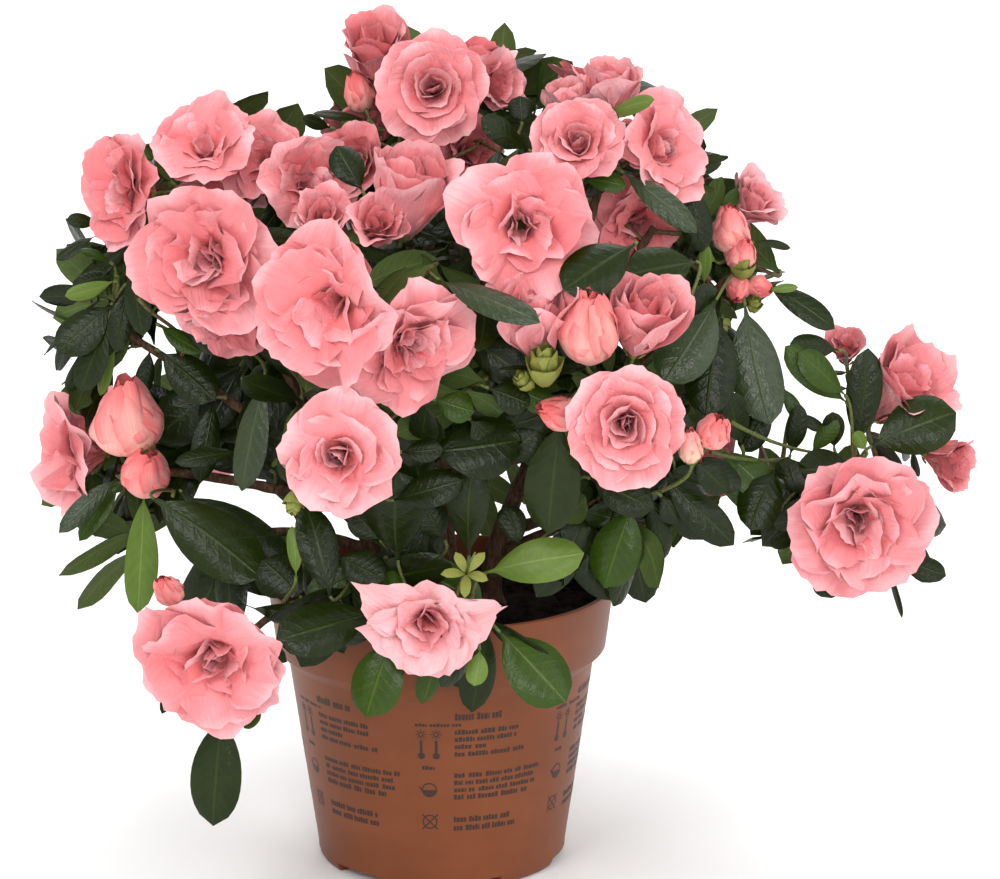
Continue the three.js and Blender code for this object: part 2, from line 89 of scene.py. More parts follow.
BLOOMS = [  # style, centre, azimuth, elevation, diameter (mm), spin, tone
    ("open", ("mass_crown_left", 0.527, 0.822, 0.805), -8, 52, 40, 0, 0),
    ("full", ("mass_crown_left", 0.208, 0.692, 0.652), -48, 8, 47, 20, 0.1),
    ("full", ("mass_crown_left", 0.585, 0.304, 0.470), -20, 0, 59, 10, 0.05),
    ("full", ("mass_crown_left", 0.668, 0.368, 0.197), 4, -44, 40, 40, 0),
    ("open", ("mass_crown_left", 0.779, 0.865, 0.752), -10, 30, 34, 15, 0),
    ("open", ("mass_crown_left", 0.969, 0.649, 0.696), 20, 22, 36, 40, -0.1),
    ("open", ("mass_front_left", 0.363, 0.416, 0.485), -24, 4, 58, 8, 0),
    ("full", ("mass_front_left", 0.684, 0.445, 0.269), 32, -14, 50, 30, 0),
    ("half", ("mass_front_left", 0.317, 0.874, 0.826), 0, 40, 24, 0, -0.1),
    ("half", ("mass_front_left", 0.559, 0.760, 0.815), 10, 44, 24, 25, 0.1),
    ("knot", ("mass_front_low", 0.520, 0.518, 0.463), -8, 4, 44, 20, -0.1),
    ("rose", ("mass_top", 0.531, 0.357, 0.670), -4, 18, 42, 12, 0),
    ("cup", ("mass_top", 0.259, 0.799, 0.831), -10, 56, 38, 0, 0.05),
    ("half", ("mass_top", 0.811, 0.750, 0.632), 45, 20, 26, 0, -0.1),
    ("cup", ("mass_front_left", 0.683, 0.874, 0.950), 24, 68, 48, 10, -0.25),
    # tone 0.3 deepens this bloom's colour: painted shade, where it sits back behind the blooms in front
    ("half", ("mass_upper_mid", 0.271, 0.734, 0.596), -10, 20, 28, 0, 0.3),
    ("open", ("mass_bloom_mid", 0.484, 0.562, 0.568), 6, 10, 53, 0, -0.05),
    ("rose", ("mass_top_right", 0.281, 0.357, 0.418), -2, 38, 36, 30, 0.05),
    ("knot", ("mass_top_right", 0.792, 0.563, 0.293), 46, 26, 44, 0, 0),
    # tones 0.4 and 0.35 deepen the next two blooms' colour: painted shade, where they sit back behind the blooms in
    # front
    ("half", ("mass_top", 0.696, 0.603, 0.228), 10, 10, 26, 0, 0.4),
    ("full", ("mass_upper_right", 0.372, 0.666, 0.529), 12, -6, 38, 0, 0.35),
    ("half", ("mass_shoulder_right", 0.551, 0.812, 0.881), 58, 42, 28, 0, -0.35),
    ("cup", ("mass_front_right", 0.154, 0.612, 0.759), -10, 64, 42, 0, 0),
    ("cup", ("mass_front_right", 0.632, 0.679, 0.746), 20, 60, 42, 20, -0.05),
    ("rose", ("mass_front_right", 0.557, 0.347, 0.308), 2, 4, 44, 70, 0),
    ("half", ("mass_far_right", 0.747, 0.849, 0.781), 46, 44, 44, 0, -0.1),
    ("half", ("mass_far_right", 0.511, 0.954, 0.937), -10, 60, 18, 0, 0.15),
    ("full", ("mass_far_right", 0.521, 0.248, 0.404), 0, -4, 58, 5, -0.1),
    ("half", ("mass_far_right", 0.953, 0.849, 0.498), 60, -10, 24, 0, 0.2),
    ("full", ("mass_bloom_low_left", 0.531, 0.423, 0.732), -8, -12, 58, 35, -0.05),
    ("flung", ("mass_front_skirt", 0.325, 0.642, 0.657), 6, -6, 44, 0, -0.45),
    ("open", ("mass_side_left", 0.246, 0.713, 0.624), -64, 2, 46, 0, -0.3),
    ("cup", ("mass_top_right", 0.509, 0.735, 0.801), 4, 80, 31, 0, -0.35),
    ("cup", ("mass_top_right", 0.234, 0.700, 0.662), -24, 78, 28, 30, -0.3),
]
BUDS = [  # middle, azimuth, elevation, length (mm), width (mm), tone, openness
    (("mass_top", 0.172, 0.750, 0.587), -60, 70, 14, 10, 0.15, 0.2),
    (("mass_shoulder_right", 0.429, 0.560, 0.814), -20, 75, 17, 13, 0.1, 0.4),
    (("mass_shoulder_right", 0.490, 0.524, 0.724), 20, 60, 13, 10, 0.2, 0.2),
    (("mass_shoulder_right", 0.476, 0.524, 0.585), -10, -30, 10, 8, 0.5, 0),
    (("mass_shoulder_right", 0.598, 0.524, 0.593), 50, -10, 9, 7, 0.6, 0),
    (("mass_front_right", 0.402, 0.546, 0.743), 10, 70, 26, 19, 0, 0.3),
    (("mass_front_right", 0.269, 0.579, 0.311), -60, 20, 15, 11, 0.35, 0.1),
    (("mass_front_right", 0.964, 0.944, 0.136), 30, 55, 13, 11, 0.3, 0.1),
    (("mass_front_right", 0.856, 0.878, 0.075), -10, 60, 14, 8, -0.8, 0),
    (("mass_side_left", 0.515, 0.300, 0.818), -6, 80, 27, 24, 0, 0.6),
    (("mass_side_left", 0.605, 0.176, 0.616), 20, 60, 18, 16, 0.25, 0.4),
    (("mass_bloom_low_left", 0.204, 0.624, 0.960), -30, 50, 12, 9, 0.1, 0.2),
]
LEAVES = [  # base, tip, width (mm), roll, tone
    (("mass_crown_left", 0.049, 0.865, 0.420), ("mass_shoulder_left", 0.028, 0.411, 0.904), 5.6, 20, "d"),
    (("mass_crown_left", 0.061, 0.886, 0.476), ("mass_crown_left", -0.067, 0.843, 0.500), 5.3, -10, "d"),
    (("mass_crown_left", 0.115, 0.822, 0.316), ("mass_shoulder_left", 0.246, 0.281, 0.972), 4.6, 30, "m"),
    (("mass_shoulder_left", 0.525, 0.411, 0.822), ("mass_shoulder_left", 0.170, 0.281, 0.776), 6.6, 10, "d"),
    (("mass_shoulder_left", 0.528, 0.346, 0.796), ("mass_shoulder_left", 0.118, 0.152, 0.735), 5.9, -30, "y"),
    (("mass_shoulder_left", 0.498, 0.346, 0.665), ("mass_shoulder_left", 0.045, 0.152, 0.429), 14.5, 0, "d"),
    (("mass_shoulder_left", 0.394, 0.476, 0.679), ("mass_side_left", 0.094, 0.506, 1.051), 4.6, 40, "d"),
    (("mass_shoulder_left", 0.376, 0.411, 0.515), ("mass_side_left", 0.203, 0.506, 0.900), 7.3, -30, "d"),
    (("mass_shoulder_left", 0.473, 0.281, 0.590), ("mass_shoulder_left", 0.222, 0.216, 0.201), 11.2, 10, "d"),
    (("mass_shoulder_left", 0.656, 0.216, 0.772), ("mass_shoulder_left", 0.559, 0.087, 0.436), 8.6, -10, "d"),
    (("mass_crown_left", 0.218, 0.735, 0.338), ("mass_crown_left", 0.265, 0.670, 0.030), 9.9, 20, "d"),
    (("mass_shoulder_left", 0.524, 0.346, 0.418), ("mass_shoulder_left", 0.389, 0.281, 0.172), 5.9, 30, "y"),
    (("mass_crown_left", 0.346, 0.584, 0.097), ("mass_crown_left", 0.528, 0.519, 0.001), 7.3, -10, "m"),
    (("mass_shoulder_left", 0.806, 0.671, 0.381), ("mass_side_left", 0.557, 0.630, 0.858), 6.6, -20, "d"),
    (("mass_crown_left", 0.205, 1.016, 0.763), ("mass_crown_left", 0.144, 0.973, 0.728), 5.3, 0, "d"),
    (("mass_side_left", 0.454, 0.382, 0.565), ("mass_side_left", 0.167, 0.217, 0.364), 7.3, -15, "g"),
    (("mass_side_left", 0.458, 0.465, 0.528), ("mass_side_left", 0.256, 0.341, 0.311), 8.6, 20, "m"),
    (("mass_side_left", 0.584, 0.341, 0.513), ("mass_side_left", 0.551, 0.176, 0.040), 12.2, 10, "y2"),
    (("mass_low_left", 0.074, 0.568, 0.795), ("mass_low_left", 0.669, 0.259, 0.305), 21.8, -5, "D"),
    (("mass_low_left", 0.219, 0.684, 0.813), ("mass_low_left", 0.847, 0.375, 0.180), 23.1, 10, "d"),
    (("mass_crown_left", 0.796, 0.476, -0.100), ("mass_low_left", 0.555, 0.529, 0.865), 12.5, 20, "g"),
    (("mass_side_left", 0.938, 0.341, 0.890), ("mass_side_left", 0.868, 0.217, 0.573), 9.9, -20, "d"),
    (("mass_side_left", 1.067, 0.011, 0.725), ("mass_low_left", 0.184, 0.684, 1.035), 6.6, 0, "d"),
    (("mass_side_left", 1.078, 0.713, 1.003), ("mass_side_left", 0.602, 0.630, 0.685), 19.8, 0, "d"),
    (("mass_shoulder_left", 0.921, 0.216, 0.422), ("mass_side_left", 0.945, 0.300, 0.896), 14.5, 0, "d"),
    (("mass_side_left", 1.056, 0.630, 0.990), ("mass_side_left", 0.888, 0.506, 0.744), 13.2, 0, "d"),
    (("mass_side_left", 1.203, 0.506, 0.580), ("mass_side_left", 0.852, 0.589, 0.629), 8.6, 0, "d"),
    (("mass_bloom_low_left", 0.561, 0.775, 0.455), ("mass_bloom_low_left", 0.486, 0.724, 0.004), 17.2, 0, "D"),
    (("mass_bloom_low_left", 0.200, 0.926, 0.585), ("mass_bloom_low_left", 0.134, 0.775, 0.447), 5.3, -50, "d"),
    (("mass_bloom_low_left", 0.842, 0.875, 0.464), ("mass_bloom_low_left", 0.716, 0.775, 0.391), 5.3, 20, "m"),
    (("mass_leaves_rim", 0.310, 0.222, 0.254), ("mass_bloom_low_left", 0.959, 0.624, 0.763), 18.5, 0, "d"),
    (("mass_low_left", 0.862, 0.027, 0.393), ("mass_low_left", 0.841, 0.104, 0.735), 5.3, 0, "y"),
    (("mass_leaves_rim", 0.143, 0.316, 0.409), ("mass_low_left", 0.914, 0.181, 0.865), 13.9, 10, "d"),
    (("mass_leaves_rim", 0.171, 0.505, 0.821), ("mass_leaves_rim", 0.347, 0.410, 0.565), 13.2, 0, "d"),
    (("mass_low_left", 0.879, 0.104, 0.222), ("mass_low_left", 0.669, 0.297, 0.426), 16.5, 0, "d"),
    (("mass_front_skirt", 0.155, 0.885, 0.515), ("mass_front_skirt", 0.034, 0.691, 0.051), 17.8, 10, "m"),
    (("mass_front_skirt", 0.658, 0.837, 0.551), ("mass_front_skirt", 0.965, 0.642, 0.157), 20.5, -10, "m"),
    (("mass_front_skirt", 0.565, 0.691, 0.472), ("mass_front_skirt", 0.538, 0.594, 0.269), 7.3, 0, "y"),
    (("mass_leaves_rim", 0.737, 0.552, 0.602), ("mass_leaves_right", 0.229, 0.241, 0.238), 15.2, 0, "y"),
    (("mass_leaves_rim", 0.669, 0.458, 0.853), ("mass_leaves_front", 0.609, 0.548, 0.383), 13.9, 0, "d"),
    (("mass_leaves_rim", 0.399, 0.458, 0.791), ("mass_leaves_front", 0.196, 0.548, 0.344), 19.8, 0, "d"),
    (("mass_leaves_front", 0.186, 0.449, 0.217), ("mass_leaves_front", 0.555, 0.449, 0.315), 12.5, 0, "d"),
    (("mass_leaves_front", 0.233, 0.301, 0.474), ("mass_leaves_front", 0.454, 0.301, 0.489), 7.9, 0, "d"),
    (("mass_leaves_front", 0.382, 0.449, 0.452), ("mass_leaves_front", 0.869, 0.548, 0.496), 21.8, 0, "d"),
    (("mass_leaves_front", 0.417, 0.350, 0.719), ("mass_leaves_front", 0.621, 0.350, 0.661), 10.6, 0, "m"),
    (("mass_leaves_front", 0.702, 0.449, 0.763), ("mass_front_right", 0.143, 0.811, 0.304), 11.2, 0, "d"),
    (("mass_leaves_front", 0.869, 0.499, 0.746), ("mass_front_right", 0.240, 0.845, 0.297), 9.9, 0, "m"),
    (("mass_leaves_front", 0.772, 0.598, 0.391), ("mass_front_right", 0.179, 0.911, 0.149), 12.5, 0, "d"),
    (("mass_front_right", 0.275, 0.712, 0.245), ("mass_leaves_right", 0.043, -0.011, 0.443), 18.5, 0, "D"),
    (("mass_leaves_right", 0.259, 0.342, 0.781), ("mass_leaves_right", 0.585, 0.292, 0.567), 13.2, 0, "d"),
    (("mass_leaves_right", 0.475, 0.443, 0.546), ("mass_leaves_right", 0.334, 0.392, -0.066), 17.2, 5, "m"),
    (("mass_leaves_right", 0.571, 0.644, 0.590), ("mass_leaves_right", 0.637, 0.694, 0.058), 8.6, 0, "d"),
    (("mass_leaves_front", 0.106, 0.598, -0.003), ("mass_leaves_front", -0.047, 0.647, 0.137), 11.2, 0, "d"),
    (("mass_leaves_rim", 0.577, 0.552, 0.998), ("mass_leaves_front", 0.324, 0.697, 0.188), 11.9, 0, "d"),
    (("mass_leaves_rim", 0.862, 0.693, 0.876), ("mass_leaves_front", 0.788, 0.944, 0.115), 9.9, 0, "d"),
    (("mass_leaves_front", 0.599, 0.499, 0.600), ("mass_leaves_front", 0.761, 0.548, 0.422), 11.2, 0, "d"),
    (("mass_top", 0.212, 0.603, 0.434), ("mass_crown_left", 0.993, 0.822, 0.965), 4.6, 20, "d"),
    (("mass_top", 0.313, 0.554, 0.376), ("mass_upper_mid", 0.173, 0.862, 0.904), 4.6, 0, "m"),
    (("mass_top", 0.082, 0.603, 0.363), ("mass_crown_left", 0.928, 0.822, 0.822), 4.6, 0, "d"),
    (("mass_upper_mid", 0.344, 0.190, 0.516), ("mass_upper_mid", 0.171, 0.318, 0.870), 11.2, 0, "d"),
    (("mass_top", 0.982, 0.112, 0.310), ("mass_top", 0.764, 0.014, 0.533), 8.9, 0, "d"),
    (("mass_top", 0.954, 0.456, 0.441), ("mass_top", 0.945, 0.554, 0.594), 9.2, 0, "d"),
    (("mass_top_right", 0.479, 0.563, 0.608), ("mass_top_right", 0.764, 0.255, 0.841), 6.6, 0, "Fy"),
    (("mass_top_right", 0.320, 0.323, 0.088), ("mass_upper_right", 0.273, 0.071, 0.948), 7.3, 0, "m"),
    (("mass_top_right", 0.578, 0.357, 0.142), ("mass_front_right", 0.887, 1.176, 1.101), 8.9, 0, "Fg"),
    (("mass_upper_right", 0.744, 0.507, 0.881), ("mass_shoulder_right", 0.264, 0.308, 0.760), 11.2, 0, "d"),
    (("mass_crown_left", 0.932, 0.908, 0.821), ("mass_crown_left", 0.724, 0.951, 0.847), 4, 0, "d"),
    (("mass_top", 0.032, 0.701, 0.369), ("mass_crown_left", 0.944, 0.865, 0.934), 5.3, 0, "d"),
    (("mass_bloom_mid", 1.097, 0.486, 0.489), ("mass_bloom_mid", 0.706, 0.218, 0.303), 17.8, 0, "F"),
    (("mass_front_right", 0.879, 1.044, 0.975), ("mass_front_right", 0.575, 0.911, 0.940), 16.5, 0, "D"),
    (("mass_front_left", 0.817, 0.531, 0.579), ("mass_front_right", 0.181, 0.181, 0.848), 10.6, -10, "Fg"),
    (("mass_shoulder_right", 0.334, 0.091, 0.602), ("mass_shoulder_right", 0.044, -0.161, 0.318), 19.1, 0, "G"),
    (("mass_shoulder_right", 0.374, 0.199, 0.516), ("mass_shoulder_right", 0.282, -0.017, 0.162), 17.8, 0, "d"),
    (("mass_shoulder_right", 0.511, 0.416, 0.533), ("mass_far_right", 0.158, 0.457, 0.733), 17.8, 0, "G"),
    (("mass_shoulder_right", 0.479, 0.740, 0.965), ("mass_shoulder_right", 0.397, 0.632, 0.876), 5.3, 0, "m"),
    (("mass_shoulder_right", 0.565, 0.596, 0.762), ("mass_shoulder_right", 0.774, 0.632, 0.733), 3.3, 0, "d"),
    (("mass_shoulder_right", 0.632, 0.524, 0.605), ("mass_shoulder_right", 1.014, 0.416, 0.442), 9.2, 0, "d"),
    (("mass_shoulder_right", 0.641, 0.488, 0.586), ("mass_shoulder_right", 0.806, 0.452, 0.603), 3.3, 0, "y"),
    (("mass_shoulder_right", 0.284, 0.488, 0.610), ("mass_shoulder_right", 0.290, 0.416, 0.778), 4.6, 0, "y"),
    (("mass_shoulder_right", 0.351, 0.524, 0.692), ("mass_shoulder_right", 0.258, 0.452, 0.749), 4, 0, "y"),
    (("mass_far_right", 0.491, 0.640, 0.785), ("mass_shoulder_right", 0.740, 0.380, 0.379), 11.2, 0, "m"),
    (("mass_far_right", 0.536, 0.614, 0.611), ("mass_far_right", 0.582, 0.666, 0.994), 12.5, 0, "d"),
    (("mass_far_right", 0.602, 0.588, 0.621), ("mass_far_right", 0.958, 0.614, 0.751), 20.5, 0, "D"),
    (("mass_far_right", 0.175, 0.614, 0.791), ("mass_far_right", 0.048, 0.562, 0.602), 9.9, 0, "d"),
    (("mass_shoulder_right", 0.737, 0.452, 0.201), ("mass_far_right", 0.295, 0.614, 0.719), 5.3, 0, "m"),
    (("mass_far_right", 0.284, 0.588, 0.748), ("mass_far_right", 0.396, 0.588, 0.685), 4.6, 0, "d"),
    (("mass_far_right", 0.440, 0.588, 0.613), ("mass_far_right", 0.427, 0.562, 0.762), 7.9, 0, "d"),
    (("mass_far_right", 0.574, 0.562, 0.610), ("mass_far_right", 0.520, 0.536, 0.688), 5.3, 0, "y"),
    (("mass_shoulder_right", 0.394, 0.199, -0.016), ("mass_far_right", 0.169, 0.405, 0.455), 13.2, 0, "m"),
    (("mass_far_right", 0.185, 0.431, 0.560), ("mass_far_right", 0.073, 0.326, 0.346), 15.2, 0, "D"),
    (("mass_far_right", 0.315, 0.405, 0.327), ("mass_far_right", 0.157, 0.300, 0.288), 5.9, 0, "d"),
    (("mass_far_right", 0.393, 0.405, 0.207), ("mass_far_right", 0.424, 0.326, 0.074), 11.9, 0, "d"),
    (("mass_far_right", 0.720, 0.457, 0.194), ("mass_far_right", 0.915, 0.431, 0.136), 8.6, 0, "d"),
    (("mass_far_right", 0.671, 0.483, 0.187), ("mass_far_right", 0.732, 0.431, -0.034), 4, 60, "d"),
    (("mass_leaves_right", 0.640, 0.543, 0.750), ("mass_leaves_right", 0.999, 0.443, 0.250), 12.5, 0, "d"),
    (("mass_leaves_right", 0.661, 0.594, 0.784), ("mass_leaves_right", 0.851, 0.644, 0.239), 14.5, 0, "d"),
    (("mass_leaves_right", 0.792, 0.342, 0.902), ("mass_leaves_right", 0.963, 0.392, 0.664), 9.9, 0, "d"),
    (("mass_leaves_right", 0.629, 0.493, 0.610), ("mass_leaves_right", 0.723, 0.493, 0.413), 8.6, 0, "d"),
    (("mass_leaves_right", 0.836, 0.997, 0.807), ("mass_far_right", 0.023, 0.222, 0.529), 9.9, 0, "d"),
    (("mass_far_right", 0.455, 0.666, 0.987), ("mass_shoulder_right", 0.764, 0.416, 0.382), 8.6, -10, "d"),
    (("mass_far_right", 0.484, 0.614, 0.818), ("mass_shoulder_right", 0.816, 0.344, 0.361), 11.2, 10, "m"),
    (("mass_far_right", 0.252, 0.562, 0.590), ("mass_far_right", 0.290, 0.562, 0.794), 7.3, 0, "d"),
    (("mass_far_right", 0.345, 0.562, 0.602), ("mass_far_right", 0.453, 0.562, 0.730), 6.6, 0, "m"),
    (("mass_far_right", 0.156, 0.457, 0.386), ("mass_shoulder_right", 0.393, 0.163, -0.022), 13.2, 10, "m"),
    (("mass_far_right", 0.043, 0.483, 0.648), ("mass_shoulder_right", 0.412, 0.199, 0.223), 11.9, 0, "d"),
]
CALYXES = [  # middle, azimuth, elevation, size (mm), kind
    (("mass_shoulder_right", 0.398, 0.488, 0.475), -20, -60, 6, "bud"),
    (("mass_shoulder_right", 0.559, 0.488, 0.507), 20, 60, 6, "bud"),
    (("mass_front_skirt", 0.501, 0.740, 0.934), 10, 40, 10, "star"),
    (("mass_front_low", 0.234, 0.596, 0.177), -20, -60, 8, "bud"),
    (("mass_front_right", 0.206, 0.513, 0.471), -4, 66, 15, "bud"),
    (("mass_front_right", 0.145, 0.546, 0.454), -50, 40, 8, "bud"),
    (("mass_shoulder_right", 0.497, 0.524, 0.629), 0, 70, 10, "bud"),
    (("mass_side_left", 0.603, 0.259, 0.690), 0, 60, 9, "bud"),
]
SPRAYS = [  # tip of the shoot, azimuth, elevation, leaves, leaf length (mm), tone
    (("mass_crown_left", 0.721, 0.541, -0.022), 0, -10, 6, 38, "d"),
    (("mass_crown_left", 0.430, 0.584, 0.014), -20, -10, 6, 38, "d"),
    (("mass_leaves_front", 0.323, 0.845, 0.304), 0, 0, 6, 38, "d"),
    (("mass_bloom_mid", 0.701, 1.059, -0.052), 0, 10, 6, 36, "d"),
    (("mass_shoulder_left", 0.415, 0.671, 0.658), -60, -5, 7, 34, "d"),
    (("mass_shoulder_left", 0.200, 0.671, 0.492), -80, -30, 6, 30, "d"),
    (("mass_shoulder_left", 0.444, 0.801, 0.255), -50, -40, 6, 32, "d"),
    (("mass_crown_left", 0.199, 0.865, 0.402), -60, 20, 6, 30, "d"),
    (("mass_side_left", 0.451, 0.548, 0.449), -50, -50, 6, 36, "d"),
    (("mass_low_left", 0.141, 0.877, 0.696), -30, -30, 6, 42, "d"),
    (("mass_low_left", 0.505, 0.684, 0.530), -10, -20, 7, 44, "d"),
    (("mass_side_left", 0.849, 0.672, 0.680), -10, 10, 6, 38, "d"),
    (("mass_side_left", 1.117, 0.259, 0.779), -5, 0, 6, 40, "d"),
    (("mass_side_left", 0.817, 0.424, 0.919), -20, 0, 6, 38, "d"),
    (("mass_side_left", 0.994, 0.300, 0.896), 0, -5, 6, 38, "d"),
    (("mass_low_left", 0.878, 0.181, 0.462), -10, -10, 6, 40, "d"),
    (("mass_leaves_rim", 0.198, 0.458, 0.421), -10, -10, 6, 36, "d"),
    (("mass_leaves_rim", 0.349, 0.552, 0.751), 0, 0, 6, 36, "m"),
    (("mass_leaves_front", 0.379, 0.647, 0.088), 0, 0, 6, 38, "d"),
    (("mass_leaves_front", 0.326, 0.647, 0.432), 0, 10, 6, 36, "d"),
    (("mass_leaves_front", 0.652, 0.647, 0.481), 5, 10, 6, 36, "d"),
    (("mass_leaves_front", 0.924, 0.746, 0.368), 10, 0, 6, 36, "d"),
    (("mass_leaves_front", 0.761, 0.697, 0.669), 0, 10, 6, 34, "d"),
    (("mass_leaves_right", 0.108, 0.493, 0.580), 10, 0, 6, 40, "d"),
    (("mass_leaves_right", 0.313, 0.543, 0.568), 15, 0, 6, 38, "d"),
    (("mass_leaves_right", 0.523, 0.745, 0.291), 20, -20, 6, 34, "d"),
    (("mass_shoulder_right", 0.250, 0.019, 0.220), 30, 0, 6, 38, "d"),
    (("mass_shoulder_right", 0.075, -0.161, 0.482), 20, 10, 6, 38, "d"),
    (("mass_shoulder_right", 0.366, 0.235, 0.384), 40, 0, 6, 38, "d"),
    (("mass_bloom_mid", 0.974, 0.830, 0.299), 10, 10, 6, 36, "d"),
    (("mass_upper_right", 0.515, 0.031, 0.459), 30, 10, 6, 34, "d"),
    (("mass_upper_right", 0.241, 0.428, 0.915), 20, 20, 6, 30, "d"),
    (("mass_top", 0.945, 0.357, 0.403), 10, 40, 6, 30, "d"),
    (("mass_top", 0.849, 0.210, 0.297), 0, 20, 6, 30, "d"),
    (("mass_top", 0.612, 0.210, 0.233), 0, 20, 6, 30, "d"),
    (("mass_upper_mid", 0.240, 0.862, 0.757), -20, 30, 6, 28, "d"),
    (("mass_upper_mid", 0.034, 0.926, 0.646), -20, 20, 6, 28, "d"),
    (("mass_crown_left", 0.765, 0.800, 0.636), -10, 10, 6, 34, "d"),
    (("mass_crown_left", 0.393, 0.584, 0.340), -40, 0, 6, 36, "d"),
    (("mass_far_right", 0.548, 0.536, 0.536), 20, 0, 6, 36, "d"),
    (("mass_far_right", 0.292, 0.483, 0.428), -20, -20, 6, 34, "d"),
    (("mass_far_right", 0.726, 0.562, 0.330), 50, -20, 6, 34, "d"),
    (("mass_far_right", -0.071, 0.352, 0.471), 20, -10, 6, 34, "d"),
    (("mass_leaves_right", 0.785, 0.997, 0.692), 20, 0, 6, 34, "d"),
    (("mass_bloom_mid", 0.934, 1.059, 0.301), 10, 0, 6, 36, "d"),
    (("mass_side_left", 0.797, 0.795, 0.828), -20, 10, 7, 38, "d"),
    (("mass_side_left", 1.012, 0.713, 0.905), -10, 10, 7, 40, "d"),
    (("mass_side_left", 1.113, 0.589, 0.724), 0, 0, 7, 40, "d"),
    (("mass_crown_left", 0.895, 0.735, -0.234), -5, 10, 7, 36, "d"),
    (("mass_side_left", 0.865, 0.837, 0.606), -15, 0, 7, 38, "d"),
    (("mass_side_left", 0.689, 0.878, 0.692), -30, 5, 6, 36, "d"),
    (("mass_crown_left", 0.825, 0.714, -0.043), 0, 20, 6, 34, "d"),
    (("mass_side_left", 0.997, 0.424, 0.551), -10, -20, 6, 34, "d"),
    (("mass_bloom_low_left", 0.689, 0.976, 0.794), -10, -20, 6, 38, "d"),
    (("mass_leaves_rim", 0.408, 0.222, 0.156), -10, -20, 6, 36, "d"),
    (("mass_leaves_rim", 0.711, 0.269, 0.134), 10, -20, 6, 36, "d"),
    (("mass_front_skirt", 0.378, 0.934, 0.479), 0, -50, 5, 32, "m"),
    (("mass_front_left", 0.876, 0.788, 0.245), 0, 0, 6, 36, "d"),
    (("mass_bloom_mid", 0.253, 0.754, 0.210), 0, 10, 6, 36, "d"),
    (("mass_crown_left", 0.954, 0.260, -0.134), -10, 0, 6, 38, "d"),
    (("mass_leaves_front", 0.164, 0.697, 0.669), 5, -10, 6, 36, "d"),
    (("mass_upper_mid", 0.920, 0.158, 0.077), 0, 20, 6, 32, "d"),
]
STALKS = [  # from, to, how far the middle is lifted (mm), radius at each end (mm)
    (("mass_leaves_right", 0.892, 0.997, 0.830), ("mass_far_right", 0.232, 0.588, 0.569), -3, 0.75, 0.55),
    (("mass_shoulder_right", 0.422, 0.019, 0.133), ("mass_far_right", 0.345, 0.562, 0.602), -3, 0.75, 0.5),
]
BACK = {"mass_back_top": 3, "mass_back_left": 4, "mass_back_right": 4, "mass_back_mid": 4, "mass_back_low_left": 3, "mass_back_low_right": 3, "mass_back_low": 3}
BACK_SPRAYS = 9
# flanks: flowers, shoots and the way they face
SIDES = {
    "mass_side_left": (0, 8, -0.7, 0.6, 0.1), "mass_shoulder_left": (0, 8, -0.7, 0.5, 0.3), "mass_crown_left": (2, 6, -0.5, 0.6, 0.5), "mass_low_left": (0, 6, -0.5, 0.7, -0.1),
    "mass_top": (2, 6, 0.0, 0.6, 0.7), "mass_upper_mid": (1, 6, 0.0, 0.7, 0.6), "mass_top_right": (1, 4, 0.4, 0.5, 0.6), "mass_upper_right": (0, 8, 0.4, 0.7, 0.4),
    "mass_shoulder_right": (0, 9, 0.7, 0.5, 0.2), "mass_far_right": (0, 4, 0.3, 0.8, 0.2), "mass_leaves_right": (0, 7, 0.6, 0.6, 0.0), "mass_front_right": (0, 8, 0.6, 0.6, 0.2),
    "mass_front_left": (0, 6, -0.4, 0.7, 0.2), "mass_bloom_mid": (0, 6, 0.2, 0.7, 0.3), "mass_front_low": (0, 3, -0.4, 0.6, 0.0), "mass_leaves_front": (0, 4, 0.0, 0.7, 0.1),
}
PRINT_R = 49.2  # the printed rows follow the taper of the wall
PRINT_COLUMNS = [5.0 + 51.5 * k for k in range(-2, 4)]
# height, where the row starts, how long it is, how tall its marks are
PRINT_ROWS = [(65.0, 0, 16, 2.1), (62.2, -13, 15, 1.0), (59.4, 0, 22, 1.4), (56.7, 0, 22, 1.4), (54.0, 0, 11, 1.4), (51.2, 0, 25, 1.4), (46.2, -11, 4.5, 1.1)]
PRINT_ROWS += [(43.2, 0, 33, 1.4), (40.5, 0, 30, 1.4), (37.8, 0, 31, 1.4), (35.1, 0, 28, 1.6), (26.6, 0, 23, 1.7), (23.4, 0, 25, 1.7)]
WORLD = 0.72
LIGHTS = [
    ("key", (-0.9, -1.4, 1.6), (0, 0, 0.17), 1.0, 16),
    ("front", (0.15, -1.75, 0.75), (0, 0, 0.15), 0.7, 10),
    ("fill", (1.3, -1.1, 0.9), (0, 0, 0.15), 1.2, 7),
    ("top", (0.2, 0.5, 1.9), (0, 0, 0.15), 1.4, 12),
    ("back", (0.0, 1.9, 1.7), (0, 1.7, 0), 1.8, 22),
]


